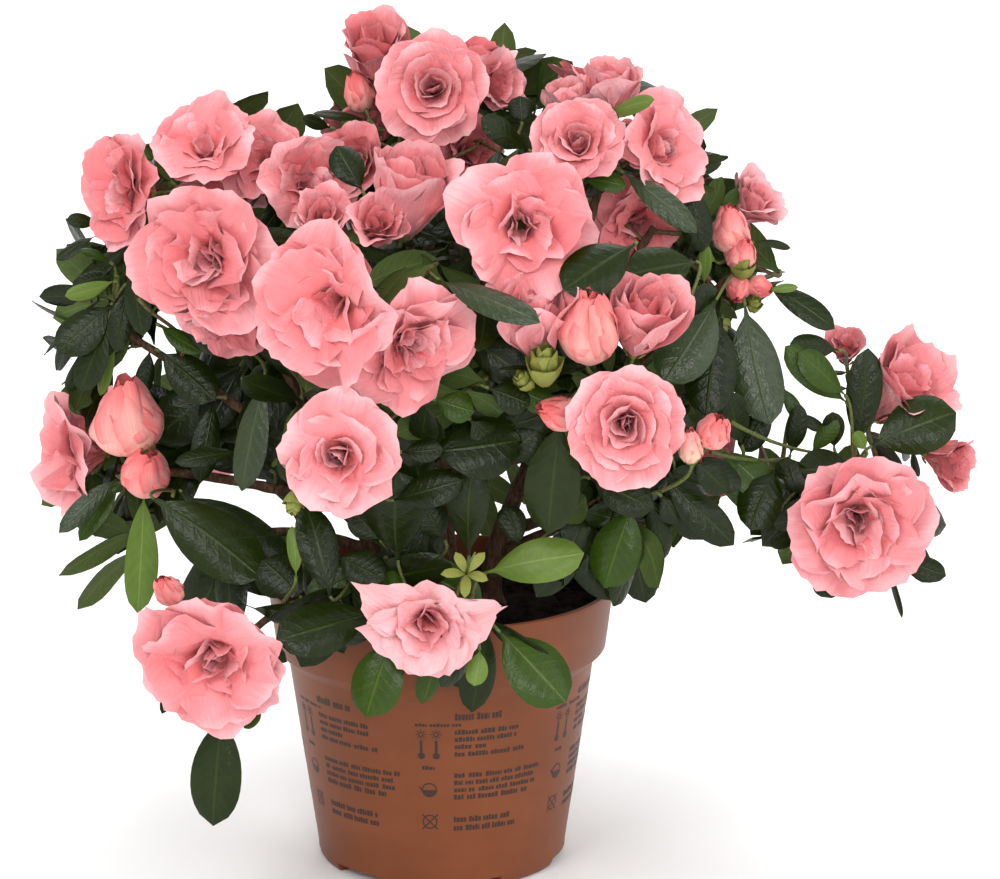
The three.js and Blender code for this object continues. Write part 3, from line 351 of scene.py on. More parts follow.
POT = dict(rim=60.0, height=98.6, band_r=57.3, band_z=76.2, neck_r=53.2, neck_z=72.2, foot_r=43.4, foot_z=5.0, base_r=41.0, wall=1.3, floor=4.4)
FEET = dict(count=6, notch=25.0, height=3.0, inner=30.0, hole=3.0, first=-73.5)
SOIL_TOP = 92.0
FLARE = 1.55
STEMS = {
    "stem_centre": ((1, -2), (-3, -4, 122), (-4, -8, 186), 4.2, 2.3),
    "stem_left": ((-13, -5), (-22, -12, 112), (-40, -16, 150), 3.8, 2.2),
    "stem_right": ((17, -7), (20, -12, 116), (34, -10, 152), 3.9, 2.2),
    "stem_back": ((2, 15), (1, 26, 118), (3, 46, 160), 3.8, 2.2),
}
BOUGHS = [
    ("stem_left", 0.34, "mass_low_left", 10, 2.0, 1.3),
    ("stem_left", 0.62, "mass_side_left", 6, 2.1, 1.3),
    ("stem_left", 0.8, "mass_shoulder_left", 4, 2.0, 1.2),
    ("stem_left", 0.97, "mass_crown_left", 8, 2.2, 1.4),
    ("stem_left", 0.5, "mass_front_low", 6, 1.9, 1.2),
    ("stem_centre", 0.98, "mass_top", 12, 2.2, 1.3),
    ("stem_centre", 0.9, "mass_upper_mid", 8, 1.8, 1.2),
    ("stem_centre", 0.7, "mass_front_left", 8, 2.0, 1.3),
    ("stem_centre", 0.8, "mass_bloom_mid", 8, 2.0, 1.3),
    ("stem_centre", 0.36, "mass_leaves_front", 6, 1.8, 1.2),
    ("stem_right", 0.97, "mass_upper_right", 8, 2.1, 1.3),
    ("stem_right", 0.72, "mass_shoulder_right", 6, 2.1, 1.3),
    ("stem_right", 0.86, "mass_top_right", 10, 2.0, 1.3),
    ("stem_right", 0.58, "mass_front_right", 4, 2.0, 1.2),
    ("stem_right", 0.3, "mass_leaves_right", 4, 1.9, 1.2),
    ("stem_right", 0.44, "mass_far_right", 9, 2.1, 1.4),
    ("stem_back", 0.98, "mass_back_top", 6, 2.0, 1.3),
    ("stem_back", 0.8, "mass_back_left", 6, 2.0, 1.3),
    ("stem_back", 0.86, "mass_back_right", 6, 2.0, 1.3),
    ("stem_back", 0.9, "mass_back_mid", 2, 2.0, 1.3),
    ("stem_back", 0.45, "mass_back_low_left", 4, 1.9, 1.2),
    ("stem_back", 0.5, "mass_back_low_right", 4, 1.9, 1.2),
    ("stem_back", 0.6, "mass_back_low", 2, 1.9, 1.2),
    ("stem_centre", 0.2, "mass_front_skirt", 12, 1.7, 1.1),
    ("stem_left", 0.12, "mass_leaves_rim", 8, 1.7, 1.1),
    ("stem_left", 0.2, "mass_bloom_low_left", 16, 1.7, 1.1),
]
CORES = {
    "mass_crown_left": (-82, -15, 234),
    "mass_shoulder_left": (-117, 8, 190),
    "mass_side_left": (-112, 6, 137),
    "mass_low_left": (-71, -38, 124),
    "mass_bloom_low_left": (-74, -84, 93),
    "mass_front_left": (-28, -70, 214),
    "mass_front_low": (-32, -78, 169),
    "mass_leaves_front": (8, -58, 154),
    "mass_top": (-3, 4, 269),
    "mass_upper_mid": (-14, -22, 245),
    "mass_bloom_mid": (28, -48, 234),
    "mass_top_right": (60, -4, 258),
    "mass_upper_right": (73, -2, 224),
    "mass_shoulder_right": (104, 12, 207),
    "mass_front_right": (53, -62, 188),
    "mass_leaves_right": (68, -44, 137),
    "mass_far_right": (152, 6, 139),
    "mass_front_skirt": (1, -84, 104),
    "mass_leaves_rim": (0, -52, 118),
    "mass_back_top": (5, 48, 248),
    "mass_back_left": (-72, 62, 212),
    "mass_back_right": (74, 66, 206),
    "mass_back_mid": (2, 98, 188),
    "mass_back_low_left": (-72, 72, 136),
    "mass_back_low_right": (76, 74, 132),
    "mass_back_low": (2, 104, 128),
}


# ------------------------------------------------------------------ small helpers
def smooth(x):
    x = np.clip(x, 0.0, 1.0)
    return x * x * (3 - 2 * x)


def unit(v):
    v = np.asarray(v, float)
    return v / np.maximum(np.linalg.norm(v, axis=-1, keepdims=True), 1e-9)


def facing(az, el):
    a, e = math.radians(az), math.radians(el)
    return np.array([math.sin(a) * math.cos(e), -math.cos(a) * math.cos(e), math.sin(e)])


def frame_of(axis):
    """Two unit vectors across an axis; the first is as near to straight down the view as it can be."""
    axis = unit(axis)
    ref = np.array([0.0, 0.0, 1.0]) if abs(axis[2]) < 0.9 else np.array([0.0, 1.0, 0.0])
    e1 = unit(np.cross(ref, axis))
    return e1, np.cross(axis, e1)


def linear(r, g, b):
    def f(c):
        c /= 255.0
        return c / 12.92 if c <= 0.04045 else ((c + 0.055) / 1.055) ** 2.4

    return (f(r), f(g), f(b), 1.0)


def quad_mesh(name, V, Q, mats, index=None, attrs=None, uvs=None):
    me = bpy.data.meshes.new(name)
    V = np.asarray(V, np.float32)
    Q = np.asarray(Q, np.int32)
    me.vertices.add(len(V))
    me.vertices.foreach_set("co", (V * MM).ravel())
    me.loops.add(Q.size)
    me.loops.foreach_set("vertex_index", Q.ravel())
    me.polygons.add(len(Q))
    me.polygons.foreach_set("loop_start", np.arange(0, Q.size, Q.shape[1], dtype=np.int32))
    me.polygons.foreach_set("use_smooth", np.ones(len(Q), bool))
    for m in mats:
        me.materials.append(m)
    if index is not None:
        me.polygons.foreach_set("material_index", np.asarray(index, np.int32))
    for k, a in (uvs or {}).items():
        layer = me.uv_layers.new(name=k)
        layer.data.foreach_set("uv", np.asarray(a, np.float32)[Q.ravel()].ravel())
    for k, a in (attrs or {}).items():
        me.attributes.new(k, "FLOAT", "POINT").data.foreach_set("value", np.asarray(a, np.float32))
    me.update(calc_edges=True)
    me.validate()
    ob = bpy.data.objects.new(name, me)
    scene.collection.objects.link(ob)
    return ob


def grid_quads(n, R, C, wrap=False):
    i = np.arange(R - 1)[:, None] * C
    if wrap:
        j = np.arange(C)[None, :]
        k = (j + 1) % C
    else:
        j = np.arange(C - 1)[None, :]
        k = j + 1
    q = np.stack([i + j, i + k, i + C + k, i + C + j], -1).reshape(-1, 4)
    return (q[None] + (np.arange(n) * R * C)[:, None, None]).reshape(-1, 4)


def atlas(n, R, C):
    """Every sheet gets a cell of its own in one square."""
    side = max(1, math.ceil(math.sqrt(n)))
    cell = 1.0 / side
    u = np.linspace(0.04, 0.96, C)[None, None, :] + np.zeros((n, R, 1))
    v = np.linspace(0.04, 0.96, R)[None, :, None] + np.zeros((n, 1, C))
    i = np.arange(n)
    return np.stack([(u + (i % side)[:, None, None]) * cell, (v + (i // side)[:, None, None]) * cell], -1).reshape(-1, 2)


# ------------------------------------------------------------------ materials
def new_material(name, rough=0.5, spec=0.5, **sockets):
    m = bpy.data.materials.new(name)
    m.use_nodes = True
    nt = m.node_tree
    b = nt.nodes["Principled BSDF"]
    b.inputs["Roughness"].default_value = rough
    b.inputs["Specular IOR Level"].default_value = spec
    for k, v in sockets.items():
        b.inputs[k.replace("_", " ")].default_value = v
    return m, nt, b


def node(nt, kind, **props):
    n = nt.nodes.new(kind)
    for k, v in props.items():
        setattr(n, k, v)
    return n


def ramp(nt, fac, stops):
    r = node(nt, "ShaderNodeValToRGB")
    e = r.color_ramp.elements
    while len(e) > 1:
        e.remove(e[-1])
    e[0].position, e[0].color = stops[0]
    for p, c in stops[1:]:
        x = e.new(p)
        x.color = c
    nt.links.new(fac, r.inputs["Fac"])
    return r.outputs["Color"]


def attribute(nt, name):
    return node(nt, "ShaderNodeAttribute", attribute_name=name, attribute_type="GEOMETRY")


def mathn(nt, op, a, b=None, clamp=False):
    n = node(nt, "ShaderNodeMath", operation=op, use_clamp=clamp)
    for i, v in enumerate((a, b)):
        if v is None:
            continue
        if isinstance(v, (int, float)):
            n.inputs[i].default_value = v
        else:
            nt.links.new(v, n.inputs[i])
    return n.outputs[0]


def mixc(nt, fac, a, b, mode="MIX"):
    n = node(nt, "ShaderNodeMix", data_type="RGBA", blend_type=mode)
    for s, v in ((n.inputs["Factor"], fac), (n.inputs[6], a), (n.inputs[7], b)):
        if isinstance(v, (int, float)):
            s.default_value = v
        elif isinstance(v, tuple):
            s.default_value = v
        else:
            nt.links.new(v, s)
    return n.outputs[2]


def noise(nt, vec, scale, detail=3.0, rough=0.5, out="Fac"):
    n = node(nt, "ShaderNodeTexNoise")
    n.inputs["Scale"].default_value = scale
    n.inputs["Detail"].default_value = detail
    n.inputs["Roughness"].default_value = rough
    if vec is not None:
        nt.links.new(vec, n.inputs["Vector"])
    return n.outputs[out]


def bump(nt, b, height, strength, distance):
    n = node(nt, "ShaderNodeBump")
    n.inputs["Strength"].default_value = strength
    n.inputs["Distance"].default_value = distance
    nt.links.new(height, n.inputs["Height"])
    nt.links.new(n.outputs[0], b.inputs["Normal"])
    return n


def scaled_uv(nt, name, sx, sy):
    uv = node(nt, "ShaderNodeUVMap", uv_map=name)
    mp = node(nt, "ShaderNodeMapping")
    mp.inputs["Scale"].default_value = (sx, sy, 1.0)
    nt.links.new(uv.outputs[0], mp.inputs["Vector"])
    return mp.outputs[0]


# The ramp runs from the throat (0) to the margin (1). Its low stops, used in the throats and the deep hearts, are the
# petals' coral lightened: painted light that lifts the recesses where the outer petals' shade falls.
PETAL_STOPS = [
    (0.0, linear(232, 112, 96)),
    (0.18, linear(229, 108, 100)),
    (0.38, linear(225, 112, 111)),
    (0.6, linear(223, 121, 125)),
    (0.8, linear(227, 138, 143)),
    (1.0, linear(238, 176, 180)),
]


def petal_material(name):
    m, nt, b = new_material(name, rough=0.62, spec=0.25, Sheen_Weight=0.12, Sheen_Roughness=0.5)
    shade = attribute(nt, "shade").outputs["Fac"]
    # fine veins run the length of the petal and fan out; soft blotches cross them
    vein = noise(nt, scaled_uv(nt, "own", 26.0, 1.6), 1.0, 4.0, 0.6)
    blot = noise(nt, scaled_uv(nt, "own", 2.2, 2.6), 1.0, 2.0, 0.5)
    crepe = noise(nt, scaled_uv(nt, "own", 9.0, 4.0), 1.0, 3.0, 0.6)
    f = mathn(nt, "ADD", shade, mathn(nt, "MULTIPLY", mathn(nt, "SUBTRACT", vein, 0.5), 0.16))
    f = mathn(nt, "ADD", f, mathn(nt, "MULTIPLY", mathn(nt, "SUBTRACT", crepe, 0.5), 0.14))
    f = mathn(nt, "ADD", f, mathn(nt, "MULTIPLY", mathn(nt, "SUBTRACT", blot, 0.5), 0.22), clamp=True)
    nt.links.new(ramp(nt, f, PETAL_STOPS), b.inputs["Base Color"])
    h = mathn(nt, "ADD", mathn(nt, "MULTIPLY", vein, 0.5), mathn(nt, "MULTIPLY", crepe, 0.9))
    bump(nt, b, mathn(nt, "ADD", h, blot), 0.75, 0.0010)
    return m


def bud_material(name):
    m, nt, b = new_material(name, rough=0.6, spec=0.25, Sheen_Weight=0.1)
    shade = attribute(nt, "shade").outputs["Fac"]
    own = node(nt, "ShaderNodeUVMap", uv_map="own")
    sep = node(nt, "ShaderNodeSeparateXYZ")
    nt.links.new(own.outputs[0], sep.inputs[0])
    streak = noise(nt, scaled_uv(nt, "own", 20.0, 1.2), 1.0, 4.0, 0.65)
    blot = noise(nt, scaled_uv(nt, "own", 3.0, 2.6), 1.0, 2.0, 0.5)
    f = mathn(nt, "ADD", shade, mathn(nt, "MULTIPLY", mathn(nt, "SUBTRACT", streak, 0.5), 0.45))
    f = mathn(nt, "ADD", f, mathn(nt, "MULTIPLY", mathn(nt, "SUBTRACT", blot, 0.5), 0.25), clamp=True)
    stops = [(0.0, linear(204, 72, 74)), (0.35, linear(224, 104, 104)), (0.6, linear(232, 134, 132)), (0.85, linear(238, 164, 156)), (1.0, linear(236, 190, 162))]
    nt.links.new(ramp(nt, f, stops), b.inputs["Base Color"])
    bump(nt, b, mathn(nt, "ADD", streak, blot), 0.4, 0.0006)
    return m


def leaf_material(name, dark, light, rib, rough, coat, relief=0.3, spec=0.18):
    m, nt, b = new_material(name, rough=rough, spec=spec, Coat_Weight=coat, Coat_Roughness=0.28)
    tone = attribute(nt, "shade").outputs["Fac"]
    own = node(nt, "ShaderNodeUVMap", uv_map="own")
    sep = node(nt, "ShaderNodeSeparateXYZ")
    nt.links.new(own.outputs[0], sep.inputs[0])
    across = mathn(nt, "ABSOLUTE", mathn(nt, "SUBTRACT", sep.outputs[0], 0.5))  # 0 at the midrib, 0.5 at the edge
    along = sep.outputs[1]
    # the side veins leave the midrib at a slant
    slant = mathn(nt, "SUBTRACT", along, mathn(nt, "MULTIPLY", across, 0.42))
    wav = mathn(nt, "ABSOLUTE", mathn(nt, "SINE", mathn(nt, "MULTIPLY", slant, 27.0)))
    veins = mathn(nt, "POWER", wav, 0.5)
    net = node(nt, "ShaderNodeTexVoronoi", feature="DISTANCE_TO_EDGE")
    net.inputs["Scale"].default_value = 1.0
    nt.links.new(scaled_uv(nt, "own", 11.0, 22.0), net.inputs["Vector"])
    cells = mathn(nt, "MINIMUM", mathn(nt, "MULTIPLY", net.outputs["Distance"], 3.0), 1.0)
    rib_line = mathn(nt, "SUBTRACT", 1.0, mathn(nt, "MULTIPLY", across, 26.0), clamp=True)
    patch = noise(nt, scaled_uv(nt, "own", 3.0, 5.0), 1.0, 3.0, 0.6)
    f = mathn(nt, "ADD", tone, mathn(nt, "MULTIPLY", mathn(nt, "SUBTRACT", patch, 0.5), 0.5), clamp=True)
    col = mixc(nt, f, dark, light)
    col = mixc(nt, mathn(nt, "MULTIPLY", rib_line, 0.3), col, rib)
    col = mixc(nt, mathn(nt, "MULTIPLY", mathn(nt, "SUBTRACT", 1.0, veins), 0.05), col, rib)
    nt.links.new(col, b.inputs["Base Color"])
    h = mathn(nt, "ADD", mathn(nt, "MULTIPLY", veins, 0.4), mathn(nt, "MULTIPLY", cells, 0.25))
    h = mathn(nt, "SUBTRACT", h, mathn(nt, "MULTIPLY", rib_line, 1.2))
    bump(nt, b, h, relief, 0.0009)
    return m


petal_mat = petal_material("azalea_petal")
bud_mat = bud_material("azalea_bud")
leaf_top = leaf_material("leaf_upper_dark", linear(10, 19, 1), linear(42, 56, 8), linear(64, 84, 24), 0.3, 0.0, 0.24, 0.22)
leaf_mid = leaf_material("leaf_upper_mid", linear(29, 48, 7), linear(66, 92, 21), linear(98, 120, 42), 0.3, 0.0, 0.22, 0.22)
leaf_young = leaf_material("leaf_upper_young", linear(72, 96, 34), linear(116, 138, 62), linear(152, 168, 98), 0.34, 0.0, 0.14)
# a glossier copy of the upper leaf: its stronger specular is real, its paler and greyer colours are painted sheen
leaf_glossy_painted_sheen = leaf_material("leaf_upper_glossy_painted_sheen", linear(22, 34, 14), linear(62, 78, 42), linear(92, 108, 66), 0.33, 0.0, 0.32, 0.42)
leaf_under = leaf_material("leaf_underside", linear(66, 84, 40), linear(96, 112, 60), linear(126, 138, 84), 0.6, 0.0)

calyx_mat, nt, b = new_material("calyx_green", rough=0.55, spec=0.3)
f = noise(nt, None, 900.0, 3.0)
nt.links.new(ramp(nt, f, [(0.3, linear(100, 107, 40)), (0.6, linear(141, 144, 70)), (0.8, linear(147, 126, 75))]), b.inputs["Base Color"])

bark_mat, nt, b = new_material("azalea_bark", rough=0.8, spec=0.2)
tc = node(nt, "ShaderNodeTexCoord")
mp = node(nt, "ShaderNodeMapping")
mp.inputs["Scale"].default_value = (700.0, 700.0, 130.0)
nt.links.new(tc.outputs["Object"], mp.inputs["Vector"])
f = noise(nt, mp.outputs[0], 1.0, 5.0, 0.65)
nt.links.new(ramp(nt, f, [(0.25, linear(40, 28, 22)), (0.5, linear(78, 55, 40)), (0.75, linear(118, 90, 66))]), b.inputs["Base Color"])
bump(nt, b, f, 0.8, 0.0006)

twig_mat, nt, b = new_material("azalea_twig", rough=0.6, spec=0.3)
f = noise(nt, None, 260.0, 4.0)
age = attribute(nt, "shade").outputs["Fac"]
green = ramp(nt, f, [(0.3, linear(66, 78, 38)), (0.7, linear(104, 118, 60))])
brown = ramp(nt, f, [(0.3, linear(62, 36, 28)), (0.7, linear(116, 76, 56))])
nt.links.new(mixc(nt, age, brown, green), b.inputs["Base Color"])
bump(nt, b, f, 0.5, 0.0004)

pot_mat, nt, b = new_material("pot_plastic", rough=0.4, spec=0.24)
tc = node(nt, "ShaderNodeTexCoord")
mp = node(nt, "ShaderNodeMapping")
mp.inputs["Scale"].default_value = (22.0, 22.0, 90.0)
nt.links.new(tc.outputs["Object"], mp.inputs["Vector"])
flow = noise(nt, mp.outputs[0], 1.0, 3.0, 0.5)
cloud = noise(nt, tc.outputs["Object"], 30.0, 3.0, 0.5)
grain = noise(nt, tc.outputs["Object"], 2200.0, 2.0, 0.5)
f = mathn(nt, "ADD", mathn(nt, "MULTIPLY", flow, 0.4), mathn(nt, "MULTIPLY", cloud, 0.6))
nt.links.new(ramp(nt, f, [(0.3, linear(108, 57, 30)), (0.5, linear(117, 63, 35)), (0.7, linear(126, 70, 41))]), b.inputs["Base Color"])
nt.links.new(mathn(nt, "ADD", 0.36, mathn(nt, "MULTIPLY", cloud, 0.16)), b.inputs["Roughness"])
bump(nt, b, mathn(nt, "ADD", mathn(nt, "MULTIPLY", cloud, 0.8), mathn(nt, "MULTIPLY", grain, 0.12)), 0.12, 0.0004)

ink_mat, nt, b = new_material("pot_print", rough=0.5, spec=0.3)
f = noise(nt, None, 700.0, 2.0)
nt.links.new(ramp(nt, f, [(0.3, linear(46, 30, 26)), (0.7, linear(66, 44, 36))]), b.inputs["Base Color"])

soil_mat, nt, b = new_material("peat_soil", rough=0.95, spec=0.15)
f = noise(nt, None, 520.0, 6.0, 0.7)
f2 = noise(nt, None, 60.0, 3.0, 0.6)
mix = mathn(nt, "ADD", mathn(nt, "MULTIPLY", f, 0.7), mathn(nt, "MULTIPLY", f2, 0.3))
nt.links.new(ramp(nt, mix, [(0.35, linear(14, 10, 8)), (0.55, linear(38, 26, 20)), (0.75, linear(84, 60, 44))]), b.inputs["Base Color"])
bump(nt, b, f, 1.0, 0.0015)

floor_mat, nt, b = new_material("pale_floor", rough=0.9, spec=0.1)
b.inputs["Base Color"].default_value = (0.96, 0.96, 0.96, 1)


# ------------------------------------------------------------------ petals
class Petals:
    """Petals are gathered as rows of numbers, then made all at once as bent, cupped and ruffled sheets."""

    KEYS = "L a0 a1 b0 bw curl W claw k0 k1 amp fr ph crease twist sweep r0 tip s0 s1 tone spin bud".split()

    def __init__(self):
        self.base, self.e1, self.e2, self.ax, self.p = [], [], [], [], []

    def add(self, base, axis, **p):
        e1, e2 = frame_of(axis)
        self.base.append(base)
        self.e1.append(e1)
        self.e2.append(e2)
        self.ax.append(unit(axis))
        d = dict(L=30, a0=14, a1=80, b0=0.2, bw=0.5, curl=0, W=13, claw=0.22, k0=0.02, k1=0.02, amp=1.0, fr=1.3, ph=0, crease=0.6, twist=0, sweep=0, r0=1.5, tip=0.0, s0=0.3, s1=0.85, tone=0, spin=0, bud=0)
        d.update(p)
        self.p.append([float(d[k]) for k in self.KEYS])

    def sheets(self, R=17, C=15):
        n = len(self.p)
        P = {k: np.array(self.p)[:, i] for i, k in enumerate(self.KEYS)}
        base, e1, e2, ax = (np.array(a, float) for a in (self.base, self.e1, self.e2, self.ax))
        g = lambda k: P[k][:, None, None]
        u = np.linspace(0, 1, R) ** 0.9
        v = np.linspace(-1, 1, C)
        v = np.sign(v) * np.abs(v) ** 0.85
        vv = v[None, None, :]
        ph = g("ph")
        edge = 1 - 0.40 * (1 - np.sqrt(1 - 0.93 * vv**2)) + g("tip") * np.exp(-((vv / 0.16) ** 2))
        edge = edge + 0.030 * np.sin(vv * 6.0 + ph * 3) * np.abs(vv) ** 0.5 + 0.014 * np.sin(vv * 15.0 + ph * 5)
        s = u[None, :, None] * edge
        S = np.linspace(0, 1.2, 90)
        rad = np.radians
        al = rad(P["a0"])[:, None] + rad(P["a1"] - P["a0"])[:, None] * smooth((S[None] - P["b0"][:, None]) / P["bw"][:, None]) + rad(P["curl"])[:, None] * smooth((S[None] - 0.66) / 0.36)
        ds = (S[1] - S[0]) * P["L"][:, None]
        rr = np.concatenate([np.zeros((n, 1)), np.cumsum(np.sin((al[:, 1:] + al[:, :-1]) / 2) * ds, 1)], 1)
        hh = np.concatenate([np.zeros((n, 1)), np.cumsum(np.cos((al[:, 1:] + al[:, :-1]) / 2) * ds, 1)], 1)
        # a bud's petals follow a closed egg instead: "bud" is its widest radius
        egg = np.sin(np.pi * np.clip(S, 0, 1.06) ** 0.78 * 0.93) ** 0.72 * (1 - 0.10 * S)
        egg = np.nan_to_num(np.maximum(egg, 0.05))[None] * P["bud"][:, None]
        tall = (S[None] + 0 * egg) * P["L"][:, None]
        closed = P["bud"][:, None] > 0
        rr, hh = np.where(closed, egg, rr), np.where(closed, tall, hh)
        al = np.where(closed, np.arctan2(np.gradient(rr, axis=1), np.gradient(hh, axis=1)), al)
        x = np.clip(s, 0, 1.19) / (S[1] - S[0])
        i0 = np.floor(x).astype(int)
        fr = x - i0
        row = np.arange(n)[:, None, None]
        pick = lambda T: T[row, i0] * (1 - fr) + T[row, np.minimum(i0 + 1, 89)] * fr
        r, h, a = pick(rr) + g("r0"), pick(hh), pick(al)
        w = g("W") * (g("claw") + (1 - g("claw")) * smooth(s / 0.62)) * (1 - 0.10 * smooth((s - 0.8) / 0.3))
        lat = vv * w
        k = g("k0") + (g("k1") - g("k0")) * smooth(s)
        k = np.where(closed[..., None], 0.86 / np.maximum(r, 1.4), k)
        k = np.where(np.abs(k) < 1e-4, 1e-4, k)
        ang = np.clip(k * lat, -2.9, 2.9)
        px = np.sin(ang) / k
        pz = (1 - np.cos(ang)) / k
        # ruffles run round the margin and die away towards the middle of the petal
        theta = np.arctan2(vv * g("W"), (s - 0.5) * g("L"))
        rim = smooth(((np.abs(vv) ** 3 + s**3) ** (1 / 3) - 0.45) / 0.5) * smooth(s / 0.35)
        rip = g("amp") * rim * (0.75 * np.sin((2.6 + g("fr")) * theta + ph) + 0.38 * np.sin((6.2 + g("fr")) * theta + ph * 2.3))
        rip = rip + g("amp") * (0.5 * np.sin(vv * 2.4 + ph) * smooth(s) + 0.32 * np.sin(s * 7 + ph * 1.7) * (1 - vv**2) * smooth(s / 0.3))
        rip = rip + g("amp") * 0.10 * smooth(s) * np.sin(vv * 10.0 + ph * 5.0)
        rip = rip - g("crease") * np.exp(-((vv / 0.14) ** 2)) * smooth(s / 0.4) * (1 - 0.5 * s)
        pz = pz + rip
        t = g("twist") * s
        px, pz = px * np.cos(t) - pz * np.sin(t), px * np.sin(t) + pz * np.cos(t)
        px = px + g("sweep") * s**2
        ca, sa = np.cos(rad(P["spin"])), np.sin(rad(P["spin"]))
        er = ca[:, None] * e1 + sa[:, None] * e2
        et = np.cross(ax, er)
        X = lambda A: A[:, None, None, :]
        N = -np.cos(a)[..., None] * X(er) + np.sin(a)[..., None] * X(ax)
        pos = X(base) + r[..., None] * X(er) + h[..., None] * X(ax) + px[..., None] * X(et) + pz[..., None] * N
        shade = g("s0") + (g("s1") - g("s0")) * smooth(s * 0.95 + 0.03) ** 0.8 - 0.10 * (1 - rim) * s + 0.16 * smooth((np.maximum(np.abs(vv), s) - 0.86) / 0.14) * smooth(s / 0.4)
        shade = shade - 0.28 * g("tone")
        # a closed petal is palest low down and deepest along its edges
        folded = np.clip(g("s0") + (g("s1") - g("s0")) * smooth(s) - 0.30 * smooth((np.abs(vv) - 0.5) / 0.5) - 0.22 * smooth((s - 0.7) / 0.3) - 0.28 * g("tone"), 0, 1)
        shade = np.where(closed[..., None], folded, shade)
        own = np.stack([np.broadcast_to((vv + 1) / 2, s.shape), np.broadcast_to(u[None, :, None], s.shape)], -1)
        own = own + (np.arange(n) % 17)[:, None, None, None] * np.array([3.7, 5.1])
        return pos, np.clip(shade, 0, 1), own, atlas(n, R, C)

    def build(self, name, per=440, R=17, C=15):
        out = []
        n = len(self.p)
        parts = max(1, math.ceil(n / per))
        step = math.ceil(n / parts)
        for i in range(parts):
            sub = Petals()
            sl = slice(i * step, min(n, (i + 1) * step))
            sub.base, sub.e1, sub.e2, sub.ax, sub.p = self.base[sl], self.e1[sl], self.e2[sl], self.ax[sl], self.p[sl]
            pos, shade, own, uv = sub.sheets(R, C)
            ob = quad_mesh(f"{name}_{i + 1}", pos.reshape(-1, 3), grid_quads(len(pos), R, C), [petal_mat, bud_mat], np.repeat([int(q[-1] > 0) for q in sub.p], (R - 1) * (C - 1)), attrs={"shade": shade.ravel()}, uvs={"own": own.reshape(-1, 2), "OFBake": uv})
            out.append(ob)
        return out


petals, far_petals = Petals(), Petals()
sink = petals  # the set that new petals go to
sepals = []  # (base, axis, size, spread)
shoots = []  # (end, axis, radius, kind): what the twigs must reach
leaves = []  # (base, tip, normal, width, arch, fold, tone)


faces = []  # (centre, reach) of the flowers and buds on the near side: spray leaves keep off them
zones = []  # (base, axis, scale) of every open flower: no leaf may stand in its bowl


def whorl(rng, base, ax, n, start, jitter=9, **p):
    """One ring of petals; each number may be (middle, spread)."""
    for i in range(n):
        q = {k: (v[0] + rng.uniform(-1, 1) * v[1] if isinstance(v, tuple) else v) for k, v in p.items()}
        q["spin"] = start + 360.0 / n * i + rng.uniform(-1, 1) * jitter
        q.setdefault("ph", rng.uniform(0, TAU))
        sink.add(base, ax, **q)


